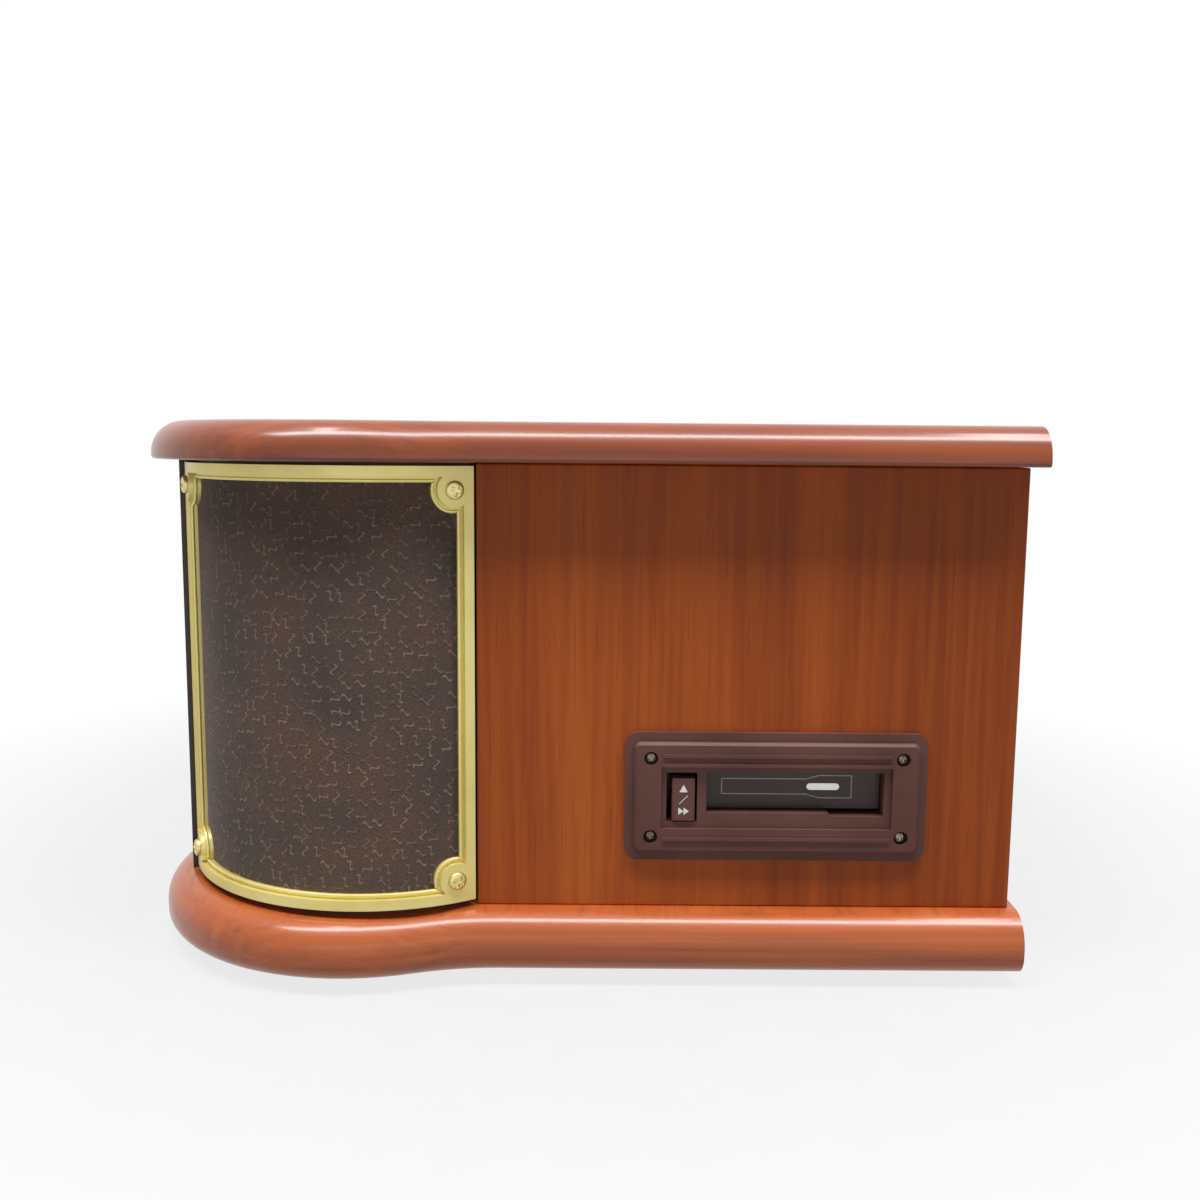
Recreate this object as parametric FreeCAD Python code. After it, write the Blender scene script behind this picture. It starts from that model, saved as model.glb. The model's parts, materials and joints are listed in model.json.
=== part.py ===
"""A wooden record player with a curved speaker at each front corner, a radio dial and a cassette slot.

Lengths are millimetres and angles are degrees. X runs to the user's right, Y to the back and Z up.
The origin is on the table, under the middle of the cabinet.
"""

import FreeCAD, Part
import math
import os

# Clearances
OVERRUN = 2.0
TOUCH = 0.01
BODY_GAP = 0.3
RUN_GAP = 0.05
FIT_GAP = 0.5

# Cabinet
FOOT_HEIGHT = 5.0
PLINTH_HEIGHT = 23.0
LID_THICKNESS = 15.0
SIDE_OVERHANG = 12.5
FRONT_OVERHANG = 12.0
BACK_OVERHANG = 3.0
SIDE_BULGE = 10.5
FRONT_BULGE = 5.0
CORNER_LIP = 6.0
SWEEP_RADIUS = 95.0
PLINTH_TOP_ROUND = 12.0
PLINTH_BOTTOM_ROUND = 8.0
LID_TOP_ROUND = 12.5
LID_BOTTOM_ROUND = 1.5
WALL_THICKNESS = 12.0
FRONT_THICKNESS = 12.0
BACK_THICKNESS = 6.0
VENT_COUNT = 9
VENT_WIDTH = 4.0
VENT_HEIGHT = 40.0
VENT_PITCH = 12.0
VENT_RISE = 50.0

# Feet
FOOT_RADIUS = 10.0
FOOT_TAPER = 1.5
FOOT_RECESS_RADIUS = 5.0
FOOT_RECESS_DEPTH = 2.5
FOOT_BACK_INSET = 24.0
FOOT_SIDE_INSET = 32.0
FOOT_FRONT_INSET = 46.0

# Lid hinges
HINGE_COUNT = 2
HINGE_SPACING = 240.0
HINGE_LENGTH = 40.0
HINGE_BARREL_RADIUS = 1.8
HINGE_PIN_RADIUS = 0.9
HINGE_LEAF_THICKNESS = 2.2
HINGE_LEAF_HEIGHT = 12.0
HINGE_CABINET_LEAF_HEIGHT = 22.0
HINGE_MID_KNUCKLE = 15.0
HINGE_BACK_GAP = 0.2

# Corner columns and speakers
FRAME_RADIUS = 80.0
FRAME_SIDE_PROUD = 15.0
FRAME_FRONT_PROUD = 5.0
FRAME_THICKNESS = 4.2
FRAME_STEP = 2.2
FRAME_START_ANGLE = 56.0
FRAME_END_ANGLE = 160.0
FRAME_BOTTOM_GAP = 2.7
FRAME_TOP_GAP = 1.0
FRAME_FACE_WIDTH = 4.0
FRAME_LEDGE_WIDTH = 1.4
EAR_RADIUS = 8.0
EAR_SIDE_INSET = 7.8
EAR_END_INSET = 8.8
CLOTH_THICKNESS = 0.8
CLOTH_MARGIN = 1.2
SHELL_THICKNESS = 5.0
SHELL_WINDOW_MARGIN = 14.0
POST_PROUD = 2.0
POST_THICKNESS = 20.0
POST_GAP = 1.2
GRILLE_SCREW_RADIUS = 1.5
GRILLE_SCREW_HEAD_RADIUS = 3.5
GRILLE_SCREW_HEAD_HEIGHT = 2.2
GRILLE_SCREW_DEPTH = 8.0
SPEAKER_BOARD_THICKNESS = 10.0
SPEAKER_BOARD_HALF_ANGLE = 49.0
SPEAKER_BOARD_TOP_GAP = 7.0
SPEAKER_RADIUS = 38.0
SPEAKER_FLANGE = 3.0
SPEAKER_HOLE_RADIUS = 34.0
SPEAKER_DEPTH = 24.0
SPEAKER_THROAT_RADIUS = 14.0
SPEAKER_WALL = 1.5
MAGNET_RADIUS = 24.0
MAGNET_HEIGHT = 12.0
CONE_THICKNESS = 0.8
CONE_CAP_RADIUS = 10.0

# Turntable deck
DECK_THICKNESS = 6.0
DECK_CORNER_RADIUS = 36.0
DECK_RECESS_DEPTH = 1.0
DECK_RECESS_MARGIN = 4.0
RAIL_SIZE = 12.0
RAIL_INSET = 14.0
CLEAT_LENGTH = 30.0

# Platter and drive
RECORD_RADIUS = 151.0
RECORD_MARGIN = 3.0
RECORD_THICKNESS = 1.4
PLATTER_RADIUS = 115.0
PLATTER_GAP = 2.0
PLATTER_HEIGHT = 12.0
PLATTER_TOP = 3.5
PLATTER_RIM = 4.0
PLATTER_EDGE_ROUND = 1.5
DRIVE_RING_RADIUS = 60.0
DRIVE_RING_WALL = 3.0
DRIVE_RING_RISE = 1.0
HUB_RADIUS = 12.0
MAT_RADIUS = 112.0
MAT_THICKNESS = 2.0
MAT_GROOVE_DEPTH = 0.6
MAT_GROOVE_WIDTH = 2.0
MAT_GROOVE_SHARES = (0.30, 0.52, 0.72, 0.90)
SPINDLE_RADIUS = 3.55
SPINDLE_RISE = 11.0
SPINDLE_TIP = 2.0
SPINDLE_SHAFT_RADIUS = 4.0
SPINDLE_SHAFT_LENGTH = 42.0
BUSH_RADIUS = 8.0
BUSH_FLANGE_RADIUS = 16.0
BUSH_FLANGE_THICKNESS = 2.5
BUSH_FLOOR = 4.0
BUSH_RISE = 1.0
MOTOR_RADIUS = 15.0
MOTOR_HEIGHT = 26.0
MOTOR_SHAFT_RADIUS = 1.5
MOTOR_SHAFT_DEPTH = 22.0
MOTOR_HOLE_MARGIN = 1.5
MOTOR_DISTANCE = 84.0
MOTOR_ANGLE = 127.0
PULLEY_RADIUS = 5.0
PULLEY_FLANGE = 0.8
PULLEY_FLANGE_HEIGHT = 0.8
PULLEY_TOP_GAP = 0.5
BELT_HEIGHT = 4.0
BELT_THICKNESS = 1.0
BELT_GAP = 0.15

# Tonearm
PIVOT_ACROSS = 182.0
PIVOT_BACK = 102.0
PIVOT_SIDE_ROOM = 64.0
ARM_FRONT_ROOM = 16.0
TAIL_ROOM = 15.0
ARM_LID_GAP = 6.7
ARM_RISE = 12.4
STYLUS_GAP = 0.5
ARM_TUBE_RADIUS = 4.0
ARM_TUBE_LENGTH = 200.0
ARM_TAIL_LENGTH = 37.0
ARM_BASE_RADIUS = 22.0
ARM_BASE_HEIGHT = 5.0
ARM_PIN_RADIUS = 5.0
ARM_PIN_HEIGHT = 14.0
YOKE_RADIUS = 9.0
YOKE_CAP = 3.0
YOKE_HALF_WIDTH = 13.0
YOKE_CHEEK = 3.0
YOKE_HALF_DEPTH = 7.0
YOKE_RISE = 6.0
ARM_AXLE_RADIUS = 1.5
ARM_BLOCK_GAP = 1.0
ARM_BLOCK_HALF_DEPTH = 7.5
ARM_BLOCK_HALF_HEIGHT = 6.0
COUNTERWEIGHT_RADIUS = 10.0
COUNTERWEIGHT_LENGTH = 20.0
COUNTERWEIGHT_START = 14.0
COUNTERWEIGHT_ROUND = 1.5
HEADSHELL_OFFSET_ANGLE = 22.0
HEADSHELL_NECK_RADIUS = 5.2
HEADSHELL_NECK_LENGTH = 12.0
HEADSHELL_NECK_GRIP = 6.0
HEADSHELL_WIDTH = 17.0
HEADSHELL_LENGTH = 34.0
HEADSHELL_THICKNESS = 2.5
HEADSHELL_ROUND = 3.0
FINGER_LENGTH = 12.0
FINGER_WIDTH = 4.0
FINGER_THICKNESS = 1.2
CARTRIDGE_WIDTH = 14.0
CARTRIDGE_LENGTH = 18.0
CARTRIDGE_START = 8.0
STYLUS_REACH = 18.0
STYLUS_HEIGHT = 2.2
STYLUS_RADIUS = 1.2
STYLUS_TIP_RADIUS = 0.25
SWING_RANGE = 48.0
REST_DISTANCE = 130.0
REST_BASE_RADIUS = 8.0
REST_BASE_HEIGHT = 3.0
REST_POST_RADIUS = 3.5
REST_HALF_WIDTH = 7.0
REST_HALF_DEPTH = 4.0
REST_HEIGHT = 4.0
REST_LIP_RISE = 7.0
LIFT_RADIUS = 40.0
LIFT_MARGIN_ANGLE = 5.0
LIFT_BAR_WIDTH = 3.0
LIFT_BAR_HEIGHT = 2.0
LIFT_PISTON_RADIUS = 2.0
LIFT_PISTON_ANGLE = 20.0
LIFT_PISTON_GRIP = 9.0
LIFT_BOSS_RADIUS = 5.0
LIFT_BOSS_HEIGHT = 15.0
CUE_BLOCK_START = 17.0
CUE_BLOCK_END = 25.0
CUE_BLOCK_HALF_DEPTH = 4.0
CUE_FORWARD = 8.0
CUE_HEIGHT = 10.0
CUE_BLOCK_RISE = 4.0
CUE_PIN_RADIUS = 1.5
CUE_HUB_RADIUS = 4.0
CUE_HUB_LENGTH = 8.0
CUE_ARM_LENGTH = 27.0
CUE_ARM_THICKNESS = 3.2
CUE_TAB_LENGTH = 9.0
CUE_TAB_THICKNESS = 2.0

# Deck controls
SPEED_INSET = 22.0
SPEED_FORWARD = 92.0
SPEED_TRAVEL = 16.0
SPEED_STEM_WIDTH = 3.6
SPEED_STEM_LENGTH = 5.0
SPEED_CAP_WIDTH = 10.0
SPEED_CAP_LENGTH = 14.0
SPEED_CAP_HEIGHT = 5.0
SPEED_CAP_ROUND = 1.5
SPEED_FOOT_MARGIN = 2.5
SPEED_FOOT_THICKNESS = 1.5
ADAPTER_RADIUS = 19.0
ADAPTER_HEIGHT = 5.0
ADAPTER_CHAMFER = 1.0
ADAPTER_INSET = 24.0
ADAPTER_FORWARD = 164.0
ADAPTER_RECESS = 1.0

# Radio dial
DIAL_WIDTH = 192.0
DIAL_HEIGHT = 42.0
DIAL_DECK_GAP = 5.0
DIAL_BORDER = 9.0
DIAL_BEZEL_THICKNESS = 4.0
DIAL_BEZEL_ROUND = 6.0
DIAL_BEZEL_BEVEL = 1.2
LENS_LIP = 2.0
LENS_THICKNESS = 2.0
DIAL_PLATE_MARGIN = 5.0
DIAL_PLATE_THICKNESS = 1.5
POINTER_TRAVEL = 118.0
POINTER_WIDTH = 1.2
POINTER_THICKNESS = 1.0
POINTER_STANDOFF = 2.0
POINTER_BOTTOM_MARGIN = 5.0
POINTER_STEM_HALF_WIDTH = 2.0
POINTER_STEM_HEIGHT = 2.0
POINTER_SLOT_DROP = 4.0
CORD_SETBACK = 18.0
CORD_SIZE = 0.8
CORD_GAP = 0.2
CORD_POST_RADIUS = 3.0
CORD_POST_SPACING = 156.0
CORD_POST_REACH = 2.0
DRUM_RADIUS = 38.0
DRUM_THICKNESS = 5.0
DRUM_FLOOR_GAP = 3.0
DRUM_SHAFT_RADIUS = 3.0
DRUM_SHAFT_GRIP = 12.0
CAPACITOR_WIDTH = 32.0
CAPACITOR_HEIGHT = 32.0
CAPACITOR_DEPTH = 24.0
CAPACITOR_STAND_WIDTH = 20.0
CAPACITOR_GAP = 1.0

# Front controls
KNOB_FLOOR_GAP = 14.0
KNOB_DIAL_GAP = 4.0
KNOB_SPACING = 95.0
KNOB_RADIUS = 16.0
KNOB_LENGTH = 13.0
KNOB_GAP = 1.5
KNOB_SKIRT = 2.0
KNOB_SKIRT_LENGTH = 3.0
KNOB_ROUND = 2.5
KNOB_FLAT_WIDTH = 3.0
KNOB_FLAT_DEPTH = 1.0
CONTROL_SHAFT_RADIUS = 3.0
CONTROL_SHAFT_GRIP = 9.0
CONTROL_BUSH_RADIUS = 5.0
CONTROL_BODY_RADIUS = 12.0
CONTROL_BODY_DEPTH = 12.0
CONTROL_SHAFT_DEPTH = 4.0
TUNING_DRUM_RADIUS = 6.0
TUNING_DRUM_LENGTH = 6.0
TUNING_FLANGE = 2.0

# Cassette player
BEZEL_BACK_INSET = 91.5
BEZEL_RISE = 44.2
BEZEL_WIDTH = 115.2
BEZEL_HEIGHT = 50.0
BEZEL_CORNER = 5.0
BEZEL_RIM = 1.8
BEZEL_PLATE_WIDTH = 108.5
BEZEL_PLATE_HEIGHT = 43.0
BEZEL_PLATE_PROUD = 4.2
BEZEL_PLATE_BEVEL = 1.0
BEZEL_RECESS_WIDTH = 87.9
BEZEL_RECESS_HEIGHT = 24.0
BEZEL_RECESS_DEPTH = 1.4
BEZEL_RIB_LENGTH = 86.6
BEZEL_RIB_HEIGHT = 1.2
BEZEL_RIB_PROUD = 0.7
BEZEL_RIB_TOP = 16.5
BEZEL_RIB_SECOND = 12.9
BEZEL_RIB_BOTTOM = 15.9
COLLAR_MARGIN = 2.0
COLLAR_REACH = 2.0
BEZEL_SCREW_SPACING_Y = 95.7
BEZEL_SCREW_SPACING_Z = 30.6
BEZEL_SCREW_HEAD_RADIUS = 2.2
BEZEL_SCREW_BORE_GAP = 0.5
BEZEL_SCREW_HEAD_HEIGHT = 1.6
BEZEL_SCREW_SINK = 2.6
BEZEL_SCREW_RADIUS = 1.3
BEZEL_SCREW_LENGTH = 10.0
SLOT_WIDTH = 67.6
SLOT_HEIGHT = 17.2
SLOT_OFFSET = 7.2
SLOT_RISE = 1.4
SLOT_STEP = 1.1
SLOT_STEP_OFFSET = 13.0
FLAP_SINK = 5.5
FLAP_THICKNESS = 1.6
FLAP_SIDE_GAP = 0.5
FLAP_TOP_GAP = 0.6
FLAP_BOTTOM_GAP = 0.5
FLAP_PIN_RADIUS = 0.7
FLAP_PIN_GRIP = 1.5
KEY_WINDOW_WIDTH = 11.7
KEY_WINDOW_HEIGHT = 19.3
KEY_WINDOW_OFFSET = 36.0
KEY_WIDTH = 8.8
KEY_HEIGHT = 17.0
KEY_SHIFT = 0.6
KEY_DROP = 0.8
KEY_SINK = 0.6
KEY_LENGTH = 10.0
KEY_ROUND = 0.8
KEY_TRAVEL = 6.0
KEY_STEM_SIZE = 5.0
KEY_STEM_LENGTH = 12.0
CHASSIS_DEPTH = 120.0
CHASSIS_WALL = 1.5
CHASSIS_DROP = 14.0
CHASSIS_LEG = 6.0
BAY_SIDE_MARGIN = 0.8
BAY_TOP_MARGIN = 1.8
BAY_DEPTH = 114.0
KEY_PLATE_MARGIN = 2.0
REEL_SPACING = 42.5
REEL_CENTRE_DEPTH = 62.0
REEL_OFFSET = 4.0
REEL_HEAD_RADIUS = 4.5
REEL_HEAD_HEIGHT = 4.0
REEL_TABLE_RADIUS = 13.0
REEL_TABLE_HEIGHT = 2.0
REEL_TABLE_DROP = 6.0
REEL_SHAFT_RADIUS = 1.5
REEL_HOLE_GAP = 0.8
FLYWHEEL_RADIUS = 15.0
FLYWHEEL_HEIGHT = 4.0
FLYWHEEL_RISE = 2.0
FLYWHEEL_WALL_GAP = 1.1
CAPSTAN_RADIUS = 1.2

# Power and sound
TRANSFORMER_BACK_INSET = 60.0
TRANSFORMER_WIDTH = 52.0
TRANSFORMER_DEPTH = 36.0
TRANSFORMER_HEIGHT = 44.0
TRANSFORMER_COIL_PROUD = 8.0
TRANSFORMER_COIL_WIDTH = 30.0
TRANSFORMER_COIL_HEIGHT = 26.0
TRANSFORMER_FOOT = 12.0
TRANSFORMER_FOOT_THICKNESS = 2.0
MAIN_BOARD_SIDE_INSET = 14.0
MAIN_BOARD_BACK_INSET = 44.0
MAIN_BOARD_WIDTH = 90.0
MAIN_BOARD_DEPTH = 100.0
MAIN_BOARD_THICKNESS = 1.6
STANDOFF_RADIUS = 3.5
STANDOFF_HEIGHT = 8.0
STANDOFF_INSET = 7.0
HEAT_SINK_LENGTH = 60.0
HEAT_SINK_BASE = 4.0
HEAT_SINK_DEPTH = 18.0
HEAT_SINK_HEIGHT = 26.0
HEAT_SINK_FINS = 7
HEAT_SINK_FIN = 2.0
CAN_RADIUS = 9.0
CAN_HEIGHT = 28.0
CAN_PITCH = 24.0
INLET_SIDE_INSET = 50.0
INLET_RISE = 30.0
INLET_WIDTH = 30.0
INLET_HEIGHT = 18.0
INLET_FLANGE = 2.0
INLET_BODY_MARGIN = 4.0
INLET_DEPTH = 20.0
INLET_RECESS_WIDTH = 17.0
INLET_RECESS_HEIGHT = 9.0
INLET_RECESS_DEPTH = 13.0
INLET_PIN_RADIUS = 1.2
INLET_PIN_SPACING = 8.6
INLET_PIN_LENGTH = 9.0

# Planes and centres worked out from the sizes above
UP = FreeCAD.Vector(0, 0, 1)
BACKWARD = FreeCAD.Vector(0, 1, 0)
RIGHT = FreeCAD.Vector(1, 0, 0)
ORIGIN = FreeCAD.Vector(0, 0, 0)
record_reach = RECORD_RADIUS + RECORD_MARGIN
x_inner = (record_reach + PIVOT_ACROSS + PIVOT_SIDE_ROOM) / 2
x_wall = x_inner + WALL_THICKNESS
x_side = x_wall + SIDE_OVERHANG
x_bulge = x_side + SIDE_BULGE
head_reach = ARM_TUBE_LENGTH + HEADSHELL_NECK_LENGTH - HEADSHELL_NECK_GRIP
inner_depth = head_reach + HEADSHELL_LENGTH + ARM_FRONT_ROOM + ARM_TAIL_LENGTH + TAIL_ROOM
y_front = -(FRONT_BULGE + FRONT_OVERHANG + FRONT_THICKNESS + inner_depth + BACK_THICKNESS + BACK_OVERHANG) / 2
y_back = -y_front
y_wall = y_back - BACK_OVERHANG
y_rear = y_wall - BACK_THICKNESS
y_straight = y_front + FRONT_BULGE
y_panel = y_straight + FRONT_OVERHANG
y_inner = y_panel + FRONT_THICKNESS
z_floor = FOOT_HEIGHT + PLINTH_HEIGHT
z_knob = z_floor + KNOB_FLOOR_GAP + KNOB_RADIUS + KNOB_SKIRT
z_dial = z_knob + KNOB_RADIUS + KNOB_SKIRT + KNOB_DIAL_GAP + DIAL_BORDER + DIAL_HEIGHT / 2
z_under = z_dial + DIAL_HEIGHT / 2 + LENS_LIP + DIAL_PLATE_MARGIN + DIAL_DECK_GAP
z_deck = z_under + DECK_THICKNESS
z_platter = z_deck + PLATTER_GAP
z_platter_top = z_platter + PLATTER_HEIGHT
z_mat = z_platter_top + MAT_THICKNESS
z_stylus = z_mat + RECORD_THICKNESS + STYLUS_GAP
z_arm = z_stylus + ARM_RISE
z_rim = z_arm + COUNTERWEIGHT_RADIUS + ARM_LID_GAP
z_lid = z_rim + BODY_GAP
z_top = z_lid + LID_THICKNESS
y_hinge = y_back - HINGE_BACK_GAP - HINGE_BARREL_RADIUS
z_hinge = (z_rim + z_lid) / 2
x_column = x_wall + FRAME_SIDE_PROUD - FRAME_RADIUS
y_column = y_panel - FRAME_FRONT_PROUD + FRAME_RADIUS
corner_radius = FRAME_RADIUS + CORNER_LIP
y_wall_front = y_column + FRAME_RADIUS * math.cos(math.radians(FRAME_START_ANGLE)) + FIT_GAP
z_frame_low = z_floor + FRAME_BOTTOM_GAP
z_frame_high = z_rim - FRAME_TOP_GAP
cloth_radius = FRAME_RADIUS - FRAME_THICKNESS
shell_radius = cloth_radius - CLOTH_THICKNESS
shell_inner = shell_radius - SHELL_THICKNESS
post_angle = FRAME_END_ANGLE + math.degrees(POST_GAP / FRAME_RADIUS)
speaker_angle = (FRAME_START_ANGLE + FRAME_END_ANGLE) / 2
z_speaker_top = z_under - SPEAKER_BOARD_TOP_GAP
half_board = shell_inner * math.sin(math.radians(SPEAKER_BOARD_HALF_ANGLE)) - FIT_GAP
speaker_reach = shell_inner * math.cos(math.radians(SPEAKER_BOARD_HALF_ANGLE))
x_platter = record_reach - x_inner
x_pivot = x_platter + PIVOT_ACROSS
y_pivot = y_rear - TAIL_ROOM - ARM_TAIL_LENGTH
y_platter = y_pivot - PIVOT_BACK
x_motor = x_platter + MOTOR_DISTANCE * math.cos(math.radians(MOTOR_ANGLE))
y_motor = y_platter + MOTOR_DISTANCE * math.sin(math.radians(MOTOR_ANGLE))
z_pulley = z_platter + DRIVE_RING_RISE
z_pulley_top = z_platter_top - PLATTER_TOP - PULLEY_TOP_GAP
x_speed = x_inner - SPEED_INSET
y_speed = y_pivot - SPEED_FORWARD
x_adapter = x_inner - ADAPTER_INSET
y_adapter = y_pivot - ADAPTER_FORWARD
z_slot = z_dial + DIAL_HEIGHT / 2 - POINTER_SLOT_DROP
y_cord = y_inner + CORD_SETBACK
z_drum = z_floor + DRUM_FLOOR_GAP + DRUM_RADIUS
y_bezel = y_wall - BEZEL_BACK_INSET
z_bezel = z_floor + BEZEL_RISE
y_slot = y_bezel + SLOT_OFFSET
z_mouth = z_bezel + SLOT_RISE
y_key = y_bezel - KEY_WINDOW_OFFSET
x_plate = x_wall + BEZEL_PLATE_PROUD
x_collar = x_inner - COLLAR_REACH
x_flap = x_plate - BEZEL_RECESS_DEPTH - FLAP_SINK
z_flap_axis = z_mouth + SLOT_HEIGHT / 2 - FLAP_TOP_GAP - FLAP_PIN_RADIUS - BODY_GAP
z_bay_floor = z_mouth - SLOT_HEIGHT / 2
z_bay_top = z_mouth + SLOT_HEIGHT / 2 + BAY_TOP_MARGIN
z_chassis = z_bay_floor - CHASSIS_DROP
x_reels = x_collar - REEL_CENTRE_DEPTH
y_reels = y_slot - REEL_OFFSET
z_inlet = z_floor + INLET_RISE
x_inlet = INLET_SIDE_INSET - x_inner
x_board = MAIN_BOARD_SIDE_INSET + MAIN_BOARD_WIDTH / 2 - x_inner
y_board = y_rear - MAIN_BOARD_BACK_INSET - MAIN_BOARD_DEPTH / 2
x_transformer = (x_board + MAIN_BOARD_WIDTH / 2 + x_collar - CHASSIS_DEPTH) / 2
y_transformer = y_rear - TRANSFORMER_BACK_INSET


def box(x0, x1, y0, y1, z0, z1):
    """A block between two corners."""
    return Part.makeBox(x1 - x0, y1 - y0, z1 - z0, FreeCAD.Vector(x0, y0, z0))


def rod(radius, length, x, y, z, direction=UP):
    """A round bar that starts at a point."""
    return Part.makeCylinder(radius, length, FreeCAD.Vector(x, y, z), direction)


def turned(points, x, y, z, direction=UP):
    """A turned piece from (radius, height) points, standing on a point."""
    corners = [FreeCAD.Vector(radius, 0, height) for radius, height in points]
    face = Part.Face(Part.makePolygon(corners + corners[:1]))
    piece = face.revolve(ORIGIN, UP, 360)
    piece.Placement = FreeCAD.Placement(FreeCAD.Vector(x, y, z), FreeCAD.Rotation(UP, direction))
    return piece


def joined(first, *others):
    """One solid from pieces that overlap or touch."""
    return first.fuse(list(others)).removeSplitter()


def group(pieces):
    """Separate solids that share one node."""
    return Part.makeCompound(pieces)


def mirrored(piece):
    """The same piece on the other side of the cabinet."""
    return piece.mirror(ORIGIN, RIGHT)


def edges_along(piece, direction):
    """The straight edges that run along a direction."""
    found = []
    for edge in piece.Edges:
        start = edge.Vertexes[0].Point
        end = edge.Vertexes[-1].Point
        if edge.Curve.TypeId == "Part::GeomLine" and (end - start).cross(direction).Length < TOUCH:
            found.append(edge)
    return found


def rounded(piece, radius, direction):
    """The piece with the corners that run along a direction rounded."""
    return piece.makeFillet(radius, edges_along(piece, direction))


def level_edges(piece, z, y_limit):
    """The edges that lie at one height, in front of a limit."""
    found = []
    for edge in piece.Edges:
        bounds = edge.BoundBox
        if abs(bounds.ZMin - z) < TOUCH and abs(bounds.ZMax - z) < TOUCH and bounds.YMin < y_limit:
            found.append(edge)
    return found


def arc(start, middle, end):
    """An arc edge through three points."""
    return Part.Arc(start, middle, end).toShape()


def board_face(z):
    """The plan of the plinth and the lid, with a bulge at each front corner and a flat back."""
    x_corner = x_bulge - corner_radius
    y_corner = y_front + corner_radius
    reach = corner_radius + SWEEP_RADIUS
    corner = FreeCAD.Vector(x_corner, y_corner, z)
    x_side_sweep = x_side + SWEEP_RADIUS
    y_side_sweep = y_corner + math.sqrt(reach ** 2 - (x_side_sweep - x_corner) ** 2)
    side_sweep = FreeCAD.Vector(x_side_sweep, y_side_sweep, z)
    y_front_sweep = y_straight - SWEEP_RADIUS
    x_front_sweep = x_corner - math.sqrt(reach ** 2 - (y_front_sweep - y_corner) ** 2)
    front_sweep = FreeCAD.Vector(x_front_sweep, y_front_sweep, z)
    back_end = FreeCAD.Vector(x_side, y_back, z)
    side_end = FreeCAD.Vector(x_side, y_side_sweep, z)
    side_meet = corner + (side_sweep - corner) * (corner_radius / reach)
    front_meet = corner + (front_sweep - corner) * (corner_radius / reach)
    front_end = FreeCAD.Vector(x_front_sweep, y_straight, z)

    def towards(centre, first, second, radius):
        return centre + ((first + second) / 2 - centre).normalize() * radius

    half = [
        Part.LineSegment(back_end, side_end).toShape(),
        arc(side_end, towards(side_sweep, side_end, side_meet, SWEEP_RADIUS), side_meet),
        arc(side_meet, towards(corner, side_meet, front_meet, corner_radius), front_meet),
        arc(front_meet, towards(front_sweep, front_meet, front_end, SWEEP_RADIUS), front_end),
    ]
    across = [
        Part.makeLine(front_end, FreeCAD.Vector(-x_front_sweep, y_straight, z)),
        Part.makeLine(back_end, FreeCAD.Vector(-x_side, y_back, z)),
    ]
    edges = half + [mirrored(edge) for edge in half] + across
    return Part.Face(Part.Wire(Part.__sortEdges__(edges)))


def moulded_board(z0, z1, top_round, bottom_round):
    """A board of the cabinet's plan with its side and front edges rounded."""
    board = board_face(z0).extrude(FreeCAD.Vector(0, 0, z1 - z0))
    board = board.makeFillet(top_round, level_edges(board, z1, y_back - TOUCH))
    return board.makeFillet(bottom_round, level_edges(board, z0, y_back - TOUCH))


def base_plinth():
    return moulded_board(FOOT_HEIGHT, z_floor, PLINTH_TOP_ROUND, PLINTH_BOTTOM_ROUND)


def hinge_centres():
    """The middle of each hinge across the back."""
    return [HINGE_SPACING * (step / (HINGE_COUNT - 1) - 1 / 2) for step in range(HINGE_COUNT)]


def lid_board():
    """The lid, notched at its back edge for the hinges."""
    lid = moulded_board(z_lid, z_top, LID_TOP_ROUND, LID_BOTTOM_ROUND)
    half = HINGE_LENGTH / 2 + BODY_GAP
    for x in hinge_centres():
        lid = lid.cut(box(x - half, x + half, y_hinge - HINGE_LEAF_THICKNESS, y_back + OVERRUN,
                          z_lid - OVERRUN, z_top + OVERRUN))
    return lid


def side_panel():
    return box(x_inner, x_wall, y_wall_front, y_wall, z_floor, z_rim)


def right_side_panel():
    """The side panel with the opening that the cassette bezel's collar fills."""
    y0, y1, z0, z1 = collar_bounds()
    return side_panel().cut(box(x_inner - OVERRUN, x_wall + OVERRUN, y0, y1, z0, z1))


def front_panel():
    """The front board with the dial opening and the holes for the controls."""
    panel = box(-x_column, x_column, y_panel, y_inner, z_floor, z_rim)
    half = DIAL_WIDTH / 2 + LENS_LIP
    half_height = DIAL_HEIGHT / 2 + LENS_LIP
    panel = panel.cut(box(-half, half, y_panel - OVERRUN, y_inner + OVERRUN,
                          z_dial - half_height, z_dial + half_height))
    for x in knob_places():
        panel = panel.cut(rod(CONTROL_BUSH_RADIUS, FRONT_THICKNESS + 2 * OVERRUN,
                              x, y_panel - OVERRUN, z_knob, BACKWARD))
    return panel


def back_panel():
    """The back board with vents, hinge seats and the mains inlet's opening."""
    panel = box(-x_inner, x_inner, y_rear, y_wall, z_floor, z_rim)
    half = HINGE_LENGTH / 2
    for x in hinge_centres():
        panel = panel.cut(box(x - half, x + half, y_hinge - HINGE_LEAF_THICKNESS, y_wall + OVERRUN,
                              z_hinge - HINGE_CABINET_LEAF_HEIGHT, z_rim + OVERRUN))
    for step in range(VENT_COUNT):
        x = VENT_PITCH * (step - (VENT_COUNT - 1) / 2)
        slot = box(x - VENT_WIDTH / 2, x + VENT_WIDTH / 2, y_rear - OVERRUN, y_wall + OVERRUN,
                   z_floor + VENT_RISE, z_floor + VENT_RISE + VENT_HEIGHT)
        panel = panel.cut(slot)
    return panel.cut(inlet_body())


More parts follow.
